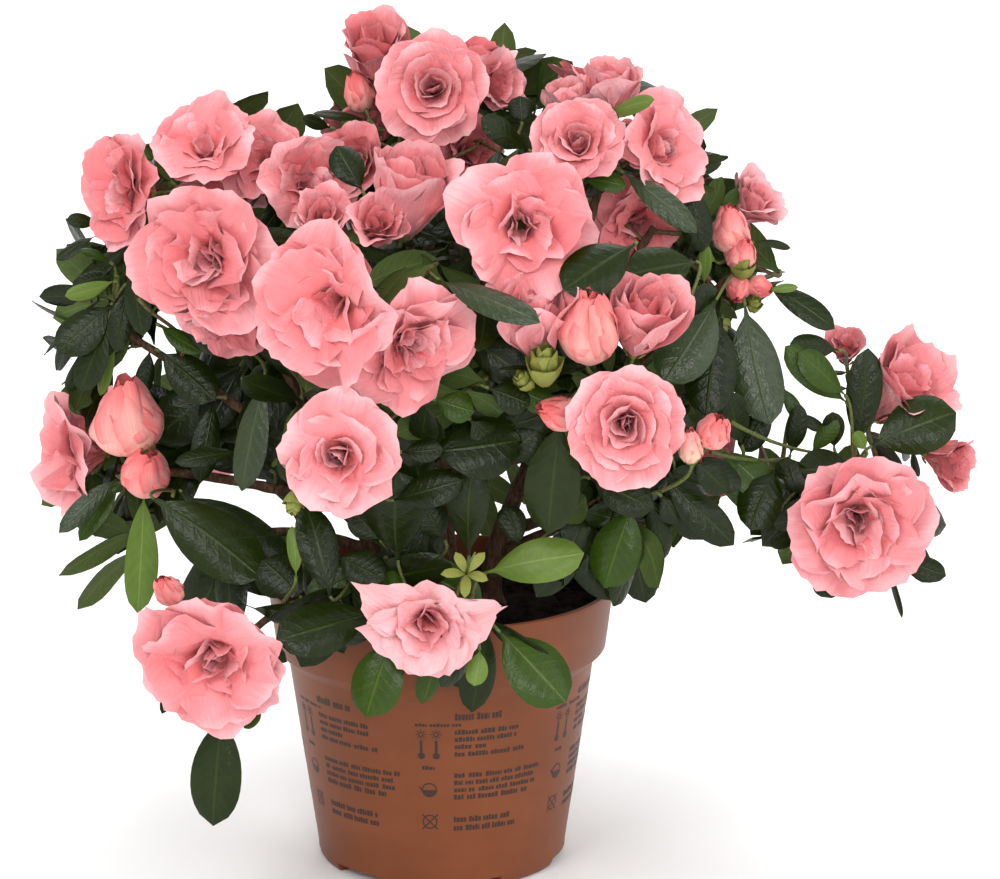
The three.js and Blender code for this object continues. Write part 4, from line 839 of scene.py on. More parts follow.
def bloom(style, centre, ax, D, spin, tone, seed):
    rng = np.random.default_rng(seed)
    k = D / 58.0
    ax = unit(ax)
    centre = np.asarray(centre, float)
    t = tone + rng.uniform(-0.05, 0.05)
    ring = lambda n, start, **p: whorl(rng, base, ax, n, spin + start, tone=t, **p)
    # In the full, open, rose and knot styles the innermost rings start high on the ramp (s0 0.6 to 0.68): their paler
    # bases are painted light that lifts the deep heart, where the outer petals' shade falls.
    if style == "full":
        base = centre - ax * 13 * k
        ring(6, 0, L=(35.5 * k, 3 * k), a0=14, a1=(86, 9), curl=(4, 18), W=(15 * k, 1.5 * k), k0=0.03, k1=(0.006, 0.025), amp=(2.3 * k, 0.6), fr=(1.2, 0.8), twist=(0, 0.2), r0=1.4 * k, tip=(0.0, 0.06), s0=0.5, s1=(0.84, 0.08))
        ring(5, 32, L=(31.5 * k, 3 * k), a0=12, a1=(67, 11), curl=(6, 20), W=(13.5 * k, 1.5 * k), k0=0.04, k1=(0.015, 0.03), amp=(2.5 * k, 0.6), fr=(1.4, 0.8), twist=(0, 0.3), r0=1.2 * k, tip=(0.0, 0.06), s0=0.4, s1=(0.78, 0.1))
        ring(5, 70, L=(26.5 * k, 3 * k), a0=10, a1=(48, 12), curl=(2, 24), W=(10.5 * k, 2 * k), k0=0.06, k1=(0.03, 0.05), amp=(2.1 * k, 0.6), fr=(1.6, 0.8), twist=(0, 0.5), r0=1.0 * k, s0=0.3, s1=(0.72, 0.1))
        ring(6, 15, L=(21.5 * k, 3 * k), a0=8, a1=(27, 12), curl=(0, 26), W=(7 * k, 2 * k), k0=0.1, k1=(0.06, 0.07), amp=(1.5 * k, 0.5), twist=(0, 0.9), r0=0.9 * k, s0=0.68, s1=(0.88, 0.08))
        ring(5, 50, L=(19 * k, 2.5 * k), a0=6, a1=(9, 9), curl=(-4, 22), W=(4.6 * k, 1 * k), k0=0.18, k1=(0.14, 0.08), amp=0.8 * k, twist=(0, 1.2), r0=0.5 * k, s0=0.68, s1=(0.88, 0.08))
    elif style == "open":
        base = centre - ax * 13 * k
        ring(5, 0, jitter=13, L=(37 * k, 4 * k), a0=14, a1=(82, 17), curl=(2, 22), W=(17 * k, 2 * k), k0=0.03, k1=(0.006, 0.03), amp=(3.1 * k, 0.7), fr=(0.9, 0.8), twist=(0, 0.3), r0=1.4 * k, tip=(0.0, 0.07), s0=0.42, s1=(0.84, 0.09))
        ring(4, 36, jitter=18, L=(32 * k, 3.5 * k), a0=12, a1=(61, 16), curl=(4, 24), W=(15.5 * k, 2 * k), k0=0.04, k1=(0.015, 0.035), amp=(3.0 * k, 0.7), fr=(1.2, 0.8), twist=(0, 0.4), r0=1.2 * k, tip=(0.0, 0.05), s0=0.34, s1=(0.76, 0.1))
        ring(4, 60, jitter=20, L=(25 * k, 3.5 * k), a0=10, a1=(40, 15), curl=(4, 26), W=(10 * k, 2.5 * k), k0=0.07, k1=(0.04, 0.06), amp=(2.3 * k, 0.6), twist=(0, 0.7), r0=1.0 * k, s0=0.6, s1=(0.84, 0.08))
        ring(6, 20, jitter=20, L=(18.5 * k, 3.5 * k), a0=8, a1=(20, 14), curl=(-4, 26), W=(6.0 * k, 1.5 * k), k0=0.12, k1=(0.07, 0.07), amp=1.0 * k, twist=(0, 0.9), r0=0.8 * k, s0=0.66, s1=(0.9, 0.08))
    elif style == "rose":
        base = centre - ax * 14 * k
        ring(5, 0, L=(36 * k, 2.5 * k), a0=16, a1=(84, 8), curl=(12, 14), W=(17 * k, 1.5 * k), k0=0.03, k1=(0.014, 0.014), amp=(1.9 * k, 0.5), fr=(0.9, 0.6), twist=(0, 0.15), r0=1.6 * k, tip=(0.0, 0.04), s0=0.46, s1=(0.86, 0.06))
        ring(5, 36, L=(31.5 * k, 2.5 * k), a0=15, a1=(61, 7), curl=(14, 14), W=(15 * k, 1.5 * k), k0=0.04, k1=(0.032, 0.012), amp=(1.6 * k, 0.5), fr=(1.0, 0.6), twist=(0, 0.18), r0=1.4 * k, s0=0.42, s1=(0.82, 0.06))
        ring(4, 12, L=(26.5 * k, 2 * k), a0=14, a1=(38, 6), curl=(18, 14), W=(12.5 * k, 1.2 * k), k0=0.05, k1=(0.052, 0.014), amp=(1.2 * k, 0.4), twist=(0.05, 0.2), r0=1.2 * k, s0=0.38, s1=(0.76, 0.06))
        ring(3, 50, L=(22.5 * k, 1.5 * k), a0=14, a1=(22, 4), curl=(14, 12), W=(10.5 * k, 1 * k), k0=0.08, k1=(0.08, 0.015), amp=(0.9 * k, 0.3), twist=(0.18, 0.15), r0=1.0 * k, s0=0.6, s1=(0.86, 0.06))
        ring(3, 20, L=(21.5 * k, 1.5 * k), a0=12, a1=(9, 4), curl=(4, 12), W=(7.5 * k, 0.8 * k), k0=0.13, k1=(0.125, 0.03), amp=(0.6 * k, 0.2), twist=(0.3, 0.2), r0=0.8 * k, s0=0.66, s1=(0.88, 0.06))
        ring(2, 80, L=21 * k, a0=8, a1=-2, curl=-6, W=5.0 * k, k0=0.2, k1=0.2, amp=0.3 * k, twist=(0.4, 0.3), r0=0.4 * k, s0=0.66, s1=0.86)
        ring(1, 30, L=20.5 * k, a0=4, a1=0, curl=0, W=3.2 * k, k0=0.36, k1=0.36, amp=0.2 * k, twist=0.5, r0=0.3 * k, s0=0.66, s1=0.84)
    elif style == "knot":  # broad lobes round a heart that is still rolled up
        base = centre - ax * 13 * k
        ring(5, 0, jitter=11, L=(37 * k, 3.5 * k), a0=14, a1=(83, 12), curl=(2, 20), W=(17.5 * k, 2 * k), k0=0.03, k1=(0.008, 0.025), amp=(2.6 * k, 0.6), fr=(0.9, 0.7), twist=(0, 0.25), r0=1.6 * k, tip=(0.0, 0.06), s0=0.5, s1=(0.86, 0.07))
        ring(4, 36, jitter=14, L=(30 * k, 3 * k), a0=12, a1=(62, 14), curl=(6, 22), W=(14.5 * k, 2 * k), k0=0.04, k1=(0.02, 0.03), amp=(2.4 * k, 0.6), fr=(1.1, 0.7), twist=(0, 0.35), r0=1.5 * k, s0=0.42, s1=(0.8, 0.08))
        ring(3, 10, L=(21.5 * k, 1.5 * k), a0=20, a1=(20, 6), curl=(26, 12), W=(9.5 * k, 1 * k), k0=0.10, k1=(0.085, 0.02), amp=(0.9 * k, 0.3), twist=(0.25, 0.15), r0=1.2 * k, s0=0.5, s1=(0.84, 0.06))
        ring(3, 60, L=(22 * k, 1 * k), a0=14, a1=(4, 3), curl=(-4, 8), W=(7.5 * k, 0.8 * k), k0=0.15, k1=(0.14, 0.03), amp=(0.6 * k, 0.2), twist=(0.35, 0.2), r0=0.9 * k, s0=0.66, s1=(0.88, 0.06))
        ring(2, 20, L=22.5 * k, a0=8, a1=-4, curl=-6, W=5.2 * k, k0=0.22, k1=0.2, amp=0.3 * k, twist=(0.4, 0.3), r0=0.5 * k, s0=0.66, s1=0.86)
        ring(1, 50, L=22 * k, a0=4, a1=-2, curl=0, W=3.4 * k, k0=0.34, k1=0.34, amp=0.2 * k, twist=0.5, r0=0.3 * k, s0=0.66, s1=0.84)
    elif style == "cup":  # half open and still upright, the petals wrapped round one another
        base = centre - ax * 20 * k
        ring(4, 0, jitter=12, L=(40 * k, 3 * k), a0=38, a1=(13, 5), b0=0.05, bw=0.6, curl=(10, 18), W=(16.5 * k, 1.5 * k), k0=0.07, k1=(0.05, 0.01), amp=(1.7 * k, 0.4), fr=(0.9, 0.5), twist=(0.12, 0.12), r0=1.2 * k, tip=(0.0, 0.04), s0=0.78, s1=(0.84, 0.06))
        ring(4, 45, jitter=12, L=(39.5 * k, 2.5 * k), a0=30, a1=(10, 5), b0=0.05, bw=0.6, curl=(6, 18), W=(14 * k, 1.5 * k), k0=0.08, k1=(0.065, 0.01), amp=(1.6 * k, 0.4), twist=(0.14, 0.15), r0=1.0 * k, s0=0.6, s1=(0.78, 0.06))
        ring(4, 15, jitter=14, L=(38 * k, 3 * k), a0=22, a1=(5, 5), b0=0.05, bw=0.6, curl=(4, 22), W=(10.5 * k, 1.5 * k), k0=0.1, k1=(0.09, 0.02), amp=(1.5 * k, 0.4), twist=(0.15, 0.4), r0=0.8 * k, s0=0.44, s1=(0.7, 0.08))
        ring(3, 60, jitter=14, L=(36 * k, 3 * k), a0=12, a1=(2, 5), b0=0.05, bw=0.6, curl=(0, 22), W=(7 * k, 1.5 * k), k0=0.14, k1=(0.13, 0.03), amp=(1.2 * k, 0.4), twist=(0.15, 0.7), r0=0.5 * k, s0=0.36, s1=(0.62, 0.08))
    elif style == "flung":  # nearly spent: three long petals thrown back, the rest still cupped
        base = centre - ax * 14 * k
        for at, length, a1, tip in ((8, 43, 96, 0.10), (148, 45, 92, 0.14), (186, 38, 88, 0.12), (240, 33, 66, 0.0), (285, 34, 62, 0.0), (328, 33, 66, 0.0), (66, 29, 62, 0.02)):
            sink.add(base, ax, L=length * k, a0=16, a1=a1, curl=14, W=(12.5 if tip > 0.05 else 15) * k, k0=0.03, k1=0.012, amp=2.4 * k, fr=1.0, ph=at * 0.7, twist=0.25 * math.sin(at), r0=1.5 * k, tip=tip, s0=0.7, s1=0.92, tone=t, spin=at + spin)
        ring(4, 30, L=(29 * k, 3 * k), a0=12, a1=(42, 10), curl=(16, 18), W=(12.5 * k, 1 * k), k0=0.05, k1=(0.04, 0.02), amp=(1.8 * k, 0.4), twist=(0.1, 0.3), r0=1.2 * k, s0=0.55, s1=0.84)
        ring(4, 10, L=(24 * k, 2 * k), a0=10, a1=(22, 8), curl=(12, 16), W=(9 * k, 1 * k), k0=0.08, k1=(0.07, 0.02), amp=(1.4 * k, 0.3), twist=(0.2, 0.5), r0=1.0 * k, s0=0.42, s1=0.74)
        ring(3, 50, L=(19 * k, 2 * k), a0=8, a1=(10, 8), curl=(6, 16), W=(5.5 * k, 1 * k), k0=0.13, k1=(0.12, 0.03), amp=(0.9 * k, 0.3), twist=(0.3, 0.7), r0=0.7 * k, s0=0.36, s1=0.62)
    else:  # half open: a funnel of petals, seen from the side
        base = centre - ax * 22 * k
        ring(5, 0, L=(44 * k, 3 * k), a0=20, a1=(35, 8), b0=0.1, curl=(20, 18), W=(16.5 * k, 1.5 * k), k0=0.06, k1=(0.03, 0.02), amp=(1.9 * k, 0.5), fr=(1.0, 0.6), twist=(0.1, 0.15), r0=1.5 * k, tip=(0.02, 0.05), s0=0.74, s1=(0.84, 0.06))
        ring(5, 36, L=(41 * k, 3 * k), a0=16, a1=(24, 7), b0=0.1, curl=(14, 18), W=(14 * k, 1.2 * k), k0=0.07, k1=(0.05, 0.02), amp=(1.7 * k, 0.5), twist=(0.1, 0.2), r0=1.3 * k, s0=0.5, s1=(0.78, 0.06))
        ring(4, 10, L=(38 * k, 3 * k), a0=12, a1=(13, 6), curl=(10, 20), W=(11 * k, 1.5 * k), k0=0.1, k1=(0.08, 0.03), amp=(1.5 * k, 0.5), twist=(0.1, 0.4), r0=1.0 * k, s0=0.4, s1=(0.7, 0.08))
        ring(3, 40, L=(35 * k, 3 * k), a0=8, a1=(6, 5), curl=(6, 20), W=(7.5 * k, 1.5 * k), k0=0.14, k1=(0.12, 0.04), amp=(1.2 * k, 0.4), twist=(0.1, 0.7), r0=0.7 * k, s0=0.34, s1=(0.62, 0.08))
    sepals.append((base, ax, 5.2 * k + 1.5, 42))
    shoots.append((base - ax * 0.5, ax, 0.75, "pedicel"))
    zones.append((base, ax, k, style))
    if centre[1] < 24:
        faces.append((centre, 0.40 * D))
    return base


def bud(middle, ax, length, width, tone, openness, seed):
    rng = np.random.default_rng(seed)
    ax = unit(ax)
    base = np.asarray(middle, float) - ax * length / 2
    half = width / 2
    start = rng.uniform(0, 72)
    ring = lambda n, turn, q, up, **p: whorl(
        rng, base, ax, n, start + turn, 7, bud=half * q, L=(length * up, length * 0.05), W=(width * 0.50 * q, width * 0.05), claw=0.6, amp=(0.05 * width, 0.1), fr=(1.4, 0.6), crease=0.3, twist=(0.14, 0.08), tone=tone, r0=0.3, tip=(0.0, 0.04), **p
    )
    ring(5, 0, 1.0, 0.88, s0=0.92, s1=(0.74, 0.1))
    ring(5, 36, 0.95, 0.97, s0=0.85, s1=(0.7, 0.1))
    ring(4, 10, 0.82, 1.02, s0=0.7, s1=(0.66, 0.08))
    ring(3, 60, 0.60, 1.03, s0=0.6, s1=(0.6, 0.08))
    ring(2, 20, 0.32, 1.02, s0=0.5, s1=(0.5, 0.08))
    if openness >= 0.5:  # the first petals have begun to lift and frill at the mouth
        whorl(rng, base, ax, 4, start + 20, L=(length * 1.0, length * 0.05), a0=34, a1=(4, 5), b0=0.05, bw=0.5, curl=(-10, 22), W=width * 0.30, claw=0.4, k0=2.2 / width, k1=3.0 / width, amp=0.08 * width, twist=(0.1, 0.4), tone=tone, r0=0.5, s0=0.5, s1=0.66)
    sepals.append((base, ax, width * 0.42 + 2.0, 34))
    shoots.append((base - ax * 0.5, ax, 0.65, "pedicel"))
    faces.append((np.asarray(middle, float), 0.45 * max(length, width)))


# ------------------------------------------------------------------ leaves
# Each tone gives a leaf's upper material and how far its colour lifts from dark to light. g, G and Fg take the glossy
# copy, whose paler, greyer colours are painted sheen.
TONES = {"F": (0, 0.35), "Fg": (4, 0.4), "Fy": (2, 0.4), "d": (0, 0.28), "D": (0, 0.45), "g": (4, 0.4), "G": (4, 0.5), "m": (1, 0.35), "y": (2, 0.4), "y2": (2, 0.25)}


def spray(tip, ax, n, length, tone, seed, lo=42, hi=88, keep=None, kind=1):
    """A whorl of leaves on the last few millimetres of a shoot, each turned on by the golden angle."""
    rng = np.random.default_rng(seed)
    ax = unit(ax)
    tip = np.asarray(tip, float)
    e1, e2 = frame_of(ax)
    a = rng.uniform(0, TAU)
    for i in range(n):
        a += GOLD
        out = math.cos(a) * e1 + math.sin(a) * e2
        inc = math.radians(lo + (hi - lo) * (i + rng.uniform(-0.4, 0.4)) / max(1, n - 1))
        d = unit(math.cos(inc) * ax + math.sin(inc) * out)
        if keep is not None and not keep(d):
            continue
        size = length * (0.78 + 0.3 * (i / max(1, n - 1))) * rng.uniform(0.88, 1.08)
        b = tip - ax * (1.0 + 1.5 * i)
        nrm = unit(ax - d * np.dot(ax, d) + 0.15 * rng.normal(size=3))
        dr = unit(d + np.array([0, 0, -0.10 * rng.uniform(0.4, 1.4)]))
        leaves.append((b, b + dr * size, nrm, size * rng.uniform(0.34, 0.42), rng.uniform(0.02, 0.09), rng.uniform(0.08, 0.28), tone, rng.uniform(0, 1), kind))
    shoots.append((tip - ax * 2, ax, 0.8, "shoot"))


def build_leaves(name, rows, R=14, C=7):
    n = len(rows)
    base = np.array([r[0] for r in rows], float)
    tip = np.array([r[1] for r in rows], float)
    nrm = np.array([r[2] for r in rows], float)
    W, arch, fold, rnd = (np.array([r[i] for r in rows], float)[:, None, None] for i in (3, 4, 5, 7))
    d = tip - base
    L = np.linalg.norm(d, axis=1)[:, None, None]
    d = unit(d)
    nrm = unit(nrm - d * (nrm * d).sum(1, keepdims=True))
    side = np.cross(nrm, d)
    u = np.linspace(0, 1, R)[None, :, None]
    v = np.linspace(-1, 1, C)[None, None, :]
    t = np.clip((u - 0.07) / 0.93, 0, 1)
    wide = 0.50 + 0.12 * rnd  # where the blade is broadest
    low_part = 1 - np.clip((wide - t) / wide, 0, 1) ** 2.1
    high_part = 1 - np.clip((t - wide) / (1 - wide), 0, 1) ** 2.3
    prof = 0.05 + 0.95 * np.where(t < wide, low_part**0.95, np.maximum(high_part, 0) ** 0.66)
    prof = np.where(u >= 0.999, 0.02, prof)
    half = W / 2 * prof
    x = half * v
    z = fold * np.abs(x) - 0.30 * half * np.abs(v) ** 3 + 0.03 * W * np.sin(u * 9 + rnd * 20) * v**2 + 0.012 * L * np.sin((rnd - 0.5) * 9 + u * 3.0) * v
    mid = arch * L * 4 * u * (1 - u) - 0.05 * L * (rnd - 0.3) * u**3 * 0
    bend = (rnd - 0.5) * 0.10 * L * np.sin(np.pi * u)
    X = lambda A: A[:, None, None, :]
    top = X(base) + (u * L)[..., None] * X(d) + (x + bend)[..., None] * X(side) + (z + mid)[..., None] * X(nrm)
    low = X(base) + (u * L)[..., None] * X(d) + (x * 0.975 + bend)[..., None] * X(side) + (z + mid - 0.16)[..., None] * X(nrm)
    shape = (n, R, C)
    own = np.stack([np.broadcast_to((v + 1) / 2, shape), np.broadcast_to(u, shape)], -1)
    lift = np.array([TONES[r[6]][1] for r in rows])[:, None, None] + (rnd - 0.5) * 0.25
    shade = np.broadcast_to(lift, shape)
    V = np.concatenate([top.reshape(-1, 3), low.reshape(-1, 3)])
    q = grid_quads(n, R, C)
    Q = np.concatenate([q, q[:, ::-1] + n * R * C])
    kind = np.repeat([TONES[r[6]][0] for r in rows], (R - 1) * (C - 1))
    index = np.concatenate([kind, np.full(len(q), 3)])
    own2 = np.concatenate([own.reshape(-1, 2)] * 2)
    uv = np.concatenate([atlas(2 * n, R, C)])
    return quad_mesh(name, V, Q, [leaf_top, leaf_mid, leaf_young, leaf_under, leaf_glossy_painted_sheen], index, {"shade": np.concatenate([shade.ravel()] * 2)}, {"own": own2, "OFBake": uv})


# ------------------------------------------------------------------ limbs
def catmull(points, n):
    """three.js's centripetal Catmull-Rom curve, sampled evenly by length."""
    p = [np.array(q, float) for q in points]
    p = [2 * p[0] - p[1]] + p + [2 * p[-1] - p[-2]]
    out = []
    for i in range(len(p) - 3):
        a, b_, c, d_ = p[i : i + 4]
        t0, t1, t2 = (max(np.linalg.norm(y - x) ** 0.5, 1e-4) for x, y in ((a, b_), (b_, c), (c, d_)))
        m1 = ((b_ - a) / t0 - (c - a) / (t0 + t1) + (c - b_) / t1) * t1
        m2 = ((c - b_) / t1 - (d_ - b_) / (t1 + t2) + (d_ - c) / t2) * t1
        t = np.linspace(0, 1, 24, endpoint=i == len(p) - 4)[:, None]
        out.append(b_ + m1 * t + (-3 * b_ + 3 * c - 2 * m1 - m2) * t**2 + (2 * b_ - 2 * c + m1 + m2) * t**3)
    q = np.concatenate(out)
    return even(q, n)


def even(q, n):
    s = np.concatenate([[0], np.cumsum(np.linalg.norm(np.diff(q, axis=0), axis=1))])
    t = np.linspace(0, s[-1], n)
    return np.stack([np.interp(t, s, q[:, i]) for i in range(3)], 1)


def bezier(a, b_, c, n):
    t = np.linspace(0, 1, n)[:, None]
    return (1 - t) ** 2 * a + 2 * t * (1 - t) * b_ + t**2 * c


def tube(path, radius, sides, relief=0.0, seed=0, closed=True):
    """(vertices, quads, length along) of a tube whose skin has ridges and knots."""
    path = np.asarray(path, float)
    n = len(path)
    rng = np.random.default_rng(seed)
    tan = unit(np.gradient(path, axis=0))
    nor = np.zeros_like(tan)
    nor[0] = frame_of(tan[0])[0]
    for i in range(1, n):
        v = nor[i - 1] - tan[i] * np.dot(nor[i - 1], tan[i])
        nor[i] = unit(v)
    bi = np.cross(tan, nor)
    s = np.concatenate([[0], np.cumsum(np.linalg.norm(np.diff(path, axis=0), axis=1))])
    a = np.linspace(0, TAU, sides, endpoint=False)[None, :]
    r = np.broadcast_to(np.asarray(radius, float), (n,))[:, None] + 0 * a
    if relief:
        f = 0
        for k in range(7):
            m = rng.integers(2, 9)
            f = f + np.sin(m * a + rng.uniform(-0.5, 0.5) * s[:, None] + rng.uniform(0, TAU)) * np.sin(s[:, None] * rng.uniform(0.25, 1.1) + rng.uniform(0, TAU)) / 2.6
        knots = sum(np.exp(-(((s[:, None] - c) / 1.3) ** 2)) for c in rng.uniform(0, s[-1], max(1, int(s[-1] / 16))))
        r = r * (1 + relief * f + relief * 1.1 * knots)
    V = path[:, None, :] + r[..., None] * (np.cos(a)[..., None] * nor[:, None, :] + np.sin(a)[..., None] * bi[:, None, :])
    V = V.reshape(-1, 3)
    Q = grid_quads(1, n, sides, wrap=True)
    # close both ends with a fan of quads onto a shared middle point
    c0, c1 = len(V), len(V) + 1
    V = np.concatenate([V, path[:1], path[-1:]])
    j = np.arange(0, sides, 2)
    e0 = np.stack([np.full(len(j), c0), (j + 2) % sides, (j + 1) % sides, j], 1)
    o = (n - 1) * sides
    e1 = np.stack([np.full(len(j), c1), o + j, o + (j + 1) % sides, o + (j + 2) % sides], 1)
    return V, np.concatenate([Q, e0, e1]), np.concatenate([np.repeat(s, sides), [0, s[-1]]])


class Tubes:
    def __init__(self):
        self.V, self.Q, self.A, self.n = [], [], [], 0

    def add(self, V, Q, shade):
        self.V.append(V)
        self.Q.append(Q + self.n)
        self.A.append(np.broadcast_to(shade, (len(V),)))
        self.n += len(V)

    def build(self, name, mat):
        return quad_mesh(name, np.concatenate(self.V), np.concatenate(self.Q), [mat], attrs={"shade": np.concatenate(self.A)})


nodes_xyz, nodes_r = [], []  # where a twig may spring from


def mass_core(name):
    return np.array(CORES[name], float)


bark = Tubes()
z0 = SOIL_TOP + 0.35
stem_paths = {}
for i, (name, (foot, knee, top, r0, r1)) in enumerate(STEMS.items()):
    path = catmull([(foot[0], foot[1], z0), (foot[0], foot[1], z0 + 5), knee, top], 120)
    stem_paths[name] = path
    t = np.linspace(0, 1, len(path))
    r = (r0 + (r1 - r0) * t) * (1 + (FLARE - 1) * np.exp(-t / 0.05))
    V, Q, s = tube(path, r, 22, 0.07, 40 + i)
    V[:22, 2] = z0
    bark.add(V, Q, 0)
    for p in path[40::6]:
        nodes_xyz.append(p)
        nodes_r.append(1.6)
bough_paths = {}
for i, (stem, along, mass, rise, r0, r1) in enumerate(BOUGHS):
    q = stem_paths[stem]
    a = q[int(round(along * (len(q) - 1)))]
    c = mass_core(mass)
    mid = (a + c) / 2 + np.array([0, 0, rise])
    n = max(16, int(np.linalg.norm(c - a) / 1.2))
    path = bezier(a, mid, c, n)
    rng = np.random.default_rng(300 + i)
    t = np.linspace(0, 1, n)[:, None]
    bough_paths[mass] = path
    V, Q, s = tube(path, np.linspace(r0, r1, n), 14, 0.08, 70 + i)
    bark.add(V, Q, 0)
    for p in path[n // 3 :: 4]:
        nodes_xyz.append(p)
        nodes_r.append(1.2)

# ------------------------------------------------------------------ places
# Each place in the tables is a mass's name and the share of the way across its box, from its low corner to its high one.
def at(name, u, v, w):
    lo, hi = (np.array(c, float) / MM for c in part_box(name))
    return lo + (hi - lo) * np.array([u, v, w])


GAPS = [(*at(*p), *rest) for p, *rest in GAPS]
BLOOMS = [(style, *at(*p), *rest) for style, p, *rest in BLOOMS]
BUDS = [(*at(*p), *rest) for p, *rest in BUDS]
LEAVES = [(*at(*p), *at(*q), *rest) for p, q, *rest in LEAVES]
CALYXES = [(*at(*p), *rest) for p, *rest in CALYXES]
SPRAYS = [(*at(*p), *rest) for p, *rest in SPRAYS]
STALKS = [(at(*p), at(*q), *rest) for p, q, *rest in STALKS]

# ------------------------------------------------------------------ flowers
for i, (style, x, y, z, az, el, D, spin, tone) in enumerate(BLOOMS):
    ax = facing(az, el)
    b0 = bloom(style, (x, y, z), ax, D, spin, tone, 1000 + i)
    # a few leaves fan out close behind each flower
    spray(b0 - ax * 4, ax, 6, D * 0.52, "d", 2000 + i, 62, 108, keep=lambda d: d[2] < 0.45 and d[1] > -0.75)
for i, (x, y, z, az, el, length, width, tone, openness) in enumerate(BUDS):
    bud((x, y, z), facing(az, el), length, width, tone, openness, 1500 + i)

# the far side: flowers and leaf sprays set out by rule over the masses that the back of the crown is made of
CROWN = np.array([0.0, 0.0, 150.0])
rng = np.random.default_rng(77)
placed = []
styles = ["full", "open", "rose", "full", "half"]
sink = far_petals
for m, (name, many) in enumerate(BACK.items()):
    lo, hi = (np.array(c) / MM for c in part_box(name))
    mid, ext = (lo + hi) / 2, (hi - lo) / 2
    out = unit(mid - CROWN)
    got = 0
    for k in range(400):
        if got == many:
            break
        d = unit(out + rng.normal(size=3) * 0.55)
        if d[1] < 0.05:
            continue
        D = rng.uniform(38, 52)
        c = mid + d * np.maximum(ext - D * 0.30, 5)
        if any(np.linalg.norm(c - q) < 0.40 * (D + e) for q, e in placed):
            continue
        placed.append((c, D))
        ax = unit(d + 0.5 * out + np.array([0, 0, 0.25]))
        b0 = bloom(styles[(got + m) % 5], c, ax, D, rng.uniform(0, 360), rng.uniform(-0.15, 0.2), 3000 + 50 * m + got)
        spray(b0 - ax * 4, ax, 6, rng.uniform(30, 38), "d", 3500 + 50 * m + got, 60, 105, kind=2)
        got += 1
    for k in range(BACK_SPRAYS):
        d = unit(out + rng.normal(size=3) * 0.8)
        c = mid + d * ext * rng.uniform(0.35, 0.85)
        if c[1] < 22:
            c[1] = 22 + rng.uniform(0, 14)
        spray(c, unit(d + np.array([0, 0.3, 0.2])), 6, rng.uniform(30, 40), "m" if rng.random() < 0.12 else "d", 4000 + 50 * m + k, kind=2)
EYE = np.array([20.5, -1470.0, 523.6])
cover = [(c, reach) for c, reach in faces if c[1] < 24]
for bx, by, bz, tx, ty, tz, w, roll, tone in LEAVES:
    b_, t_ = np.array([bx, by, bz], float), np.array([tx, ty, tz], float)
    cover += [(b_ + (t_ - b_) * u, 0.45 * w) for u in (0.3, 0.5, 0.7)]
COVER = np.array([(*c, reach) for c, reach in cover])


def behind(c, r):
    """True where most of a disc of radius r about c is hidden from the front by what already stands there."""
    d0 = unit(c - EYE)
    e1, e2 = frame_of(d0)
    hid = 0
    for k in range(13):
        a = TAU * k / 12
        p = c + (r * (math.cos(a) * e1 + math.sin(a) * e2) if k < 12 else 0)
        d = unit(p - EYE)
        q = COVER[:, :3] - EYE
        along = q @ d
        off = np.linalg.norm(q - along[:, None] * d, axis=1)
        hid += bool(np.any((off < COVER[:, 3]) & (along < np.linalg.norm(p - EYE) - 6)))
    return hid >= 10


# the flanks and the inner side of the near half, so that the crown is as full seen from the side
for m, (name, (many, shoots_, dx, dy, dz)) in enumerate(SIDES.items()):
    lo, hi = (np.array(c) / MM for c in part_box(name))
    mid, ext = (lo + hi) / 2, (hi - lo) / 2
    out = unit(np.array([dx, dy, dz]))
    got = 0
    for k in range(300):
        if got == many:
            break
        D = rng.uniform(34, 44)
        c = mid + np.array([rng.uniform(-0.5, 0.5), rng.uniform(0.5, 1.1), rng.uniform(-0.5, 0.4)]) * ext
        c += np.array([0.25 * dx, 0.5 * dy, 0]) * ext
        if any(np.linalg.norm(c - q) < 0.42 * (D + e) for q, e in placed) or not behind(c, 0.40 * D):
            continue
        placed.append((c, D))
        ax = unit(out + rng.normal(size=3) * 0.25)
        b0 = bloom(styles[(got + m) % 4], c, ax, D, rng.uniform(0, 360), rng.uniform(-0.15, 0.2), 7000 + 20 * m + got)
        spray(b0 - ax * 4, ax, 6, rng.uniform(28, 34), "d", 7500 + 20 * m + got, 60, 105, kind=2)
        got += 1
    for k in range(shoots_):
        c = mid + np.array([rng.uniform(-0.7, 0.7), rng.uniform(-0.1, 1.0), rng.uniform(-0.7, 0.6)]) * ext
        c += np.array([0.0, 0.3 * dy, 0]) * ext
        first = len(leaves)
        spray(c, unit(out + rng.normal(size=3) * 0.45), 7, rng.uniform(28, 36), "m" if rng.random() < 0.1 else "d", 8000 + 20 * m + k, kind=2)
        # none of them reaches past the outline the crown has from the front
        leaves[first:] = [q for q in leaves[first:] if lo[0] - 2 < q[1][0] < hi[0] + 2 and lo[2] - 4 < q[1][2] < hi[2] + 1]
sink = petals

for i, (x, y, z, az, el, n, length, tone) in enumerate(SPRAYS):
    spray((x, y, z), facing(az, el), n, length, tone, 5000 + i)
view = unit(np.array([0.0, -0.86, 0.5]))
rng = np.random.default_rng(9)
for i, (bx, by, bz, tx, ty, tz, w, roll, tone) in enumerate(LEAVES):
    base, tip = np.array([bx, by, bz], float), np.array([tx, ty, tz], float)
    d = unit(tip - base)
    n0 = unit(view - d * np.dot(view, d))
    a = math.radians(roll)
    nrm = unit(n0 * math.cos(a) + np.cross(d, n0) * math.sin(a))
    leaves.append((base, tip, nrm, w, rng.uniform(0.02, 0.06), rng.uniform(0.05, 0.2), tone, rng.uniform(0.2, 0.8), -1 if tone[0] == "F" else 0))
    shoots.append((base, d, 0.6, "petiole"))



FRONT = unit(np.array([0.0, -0.969, 0.247]))


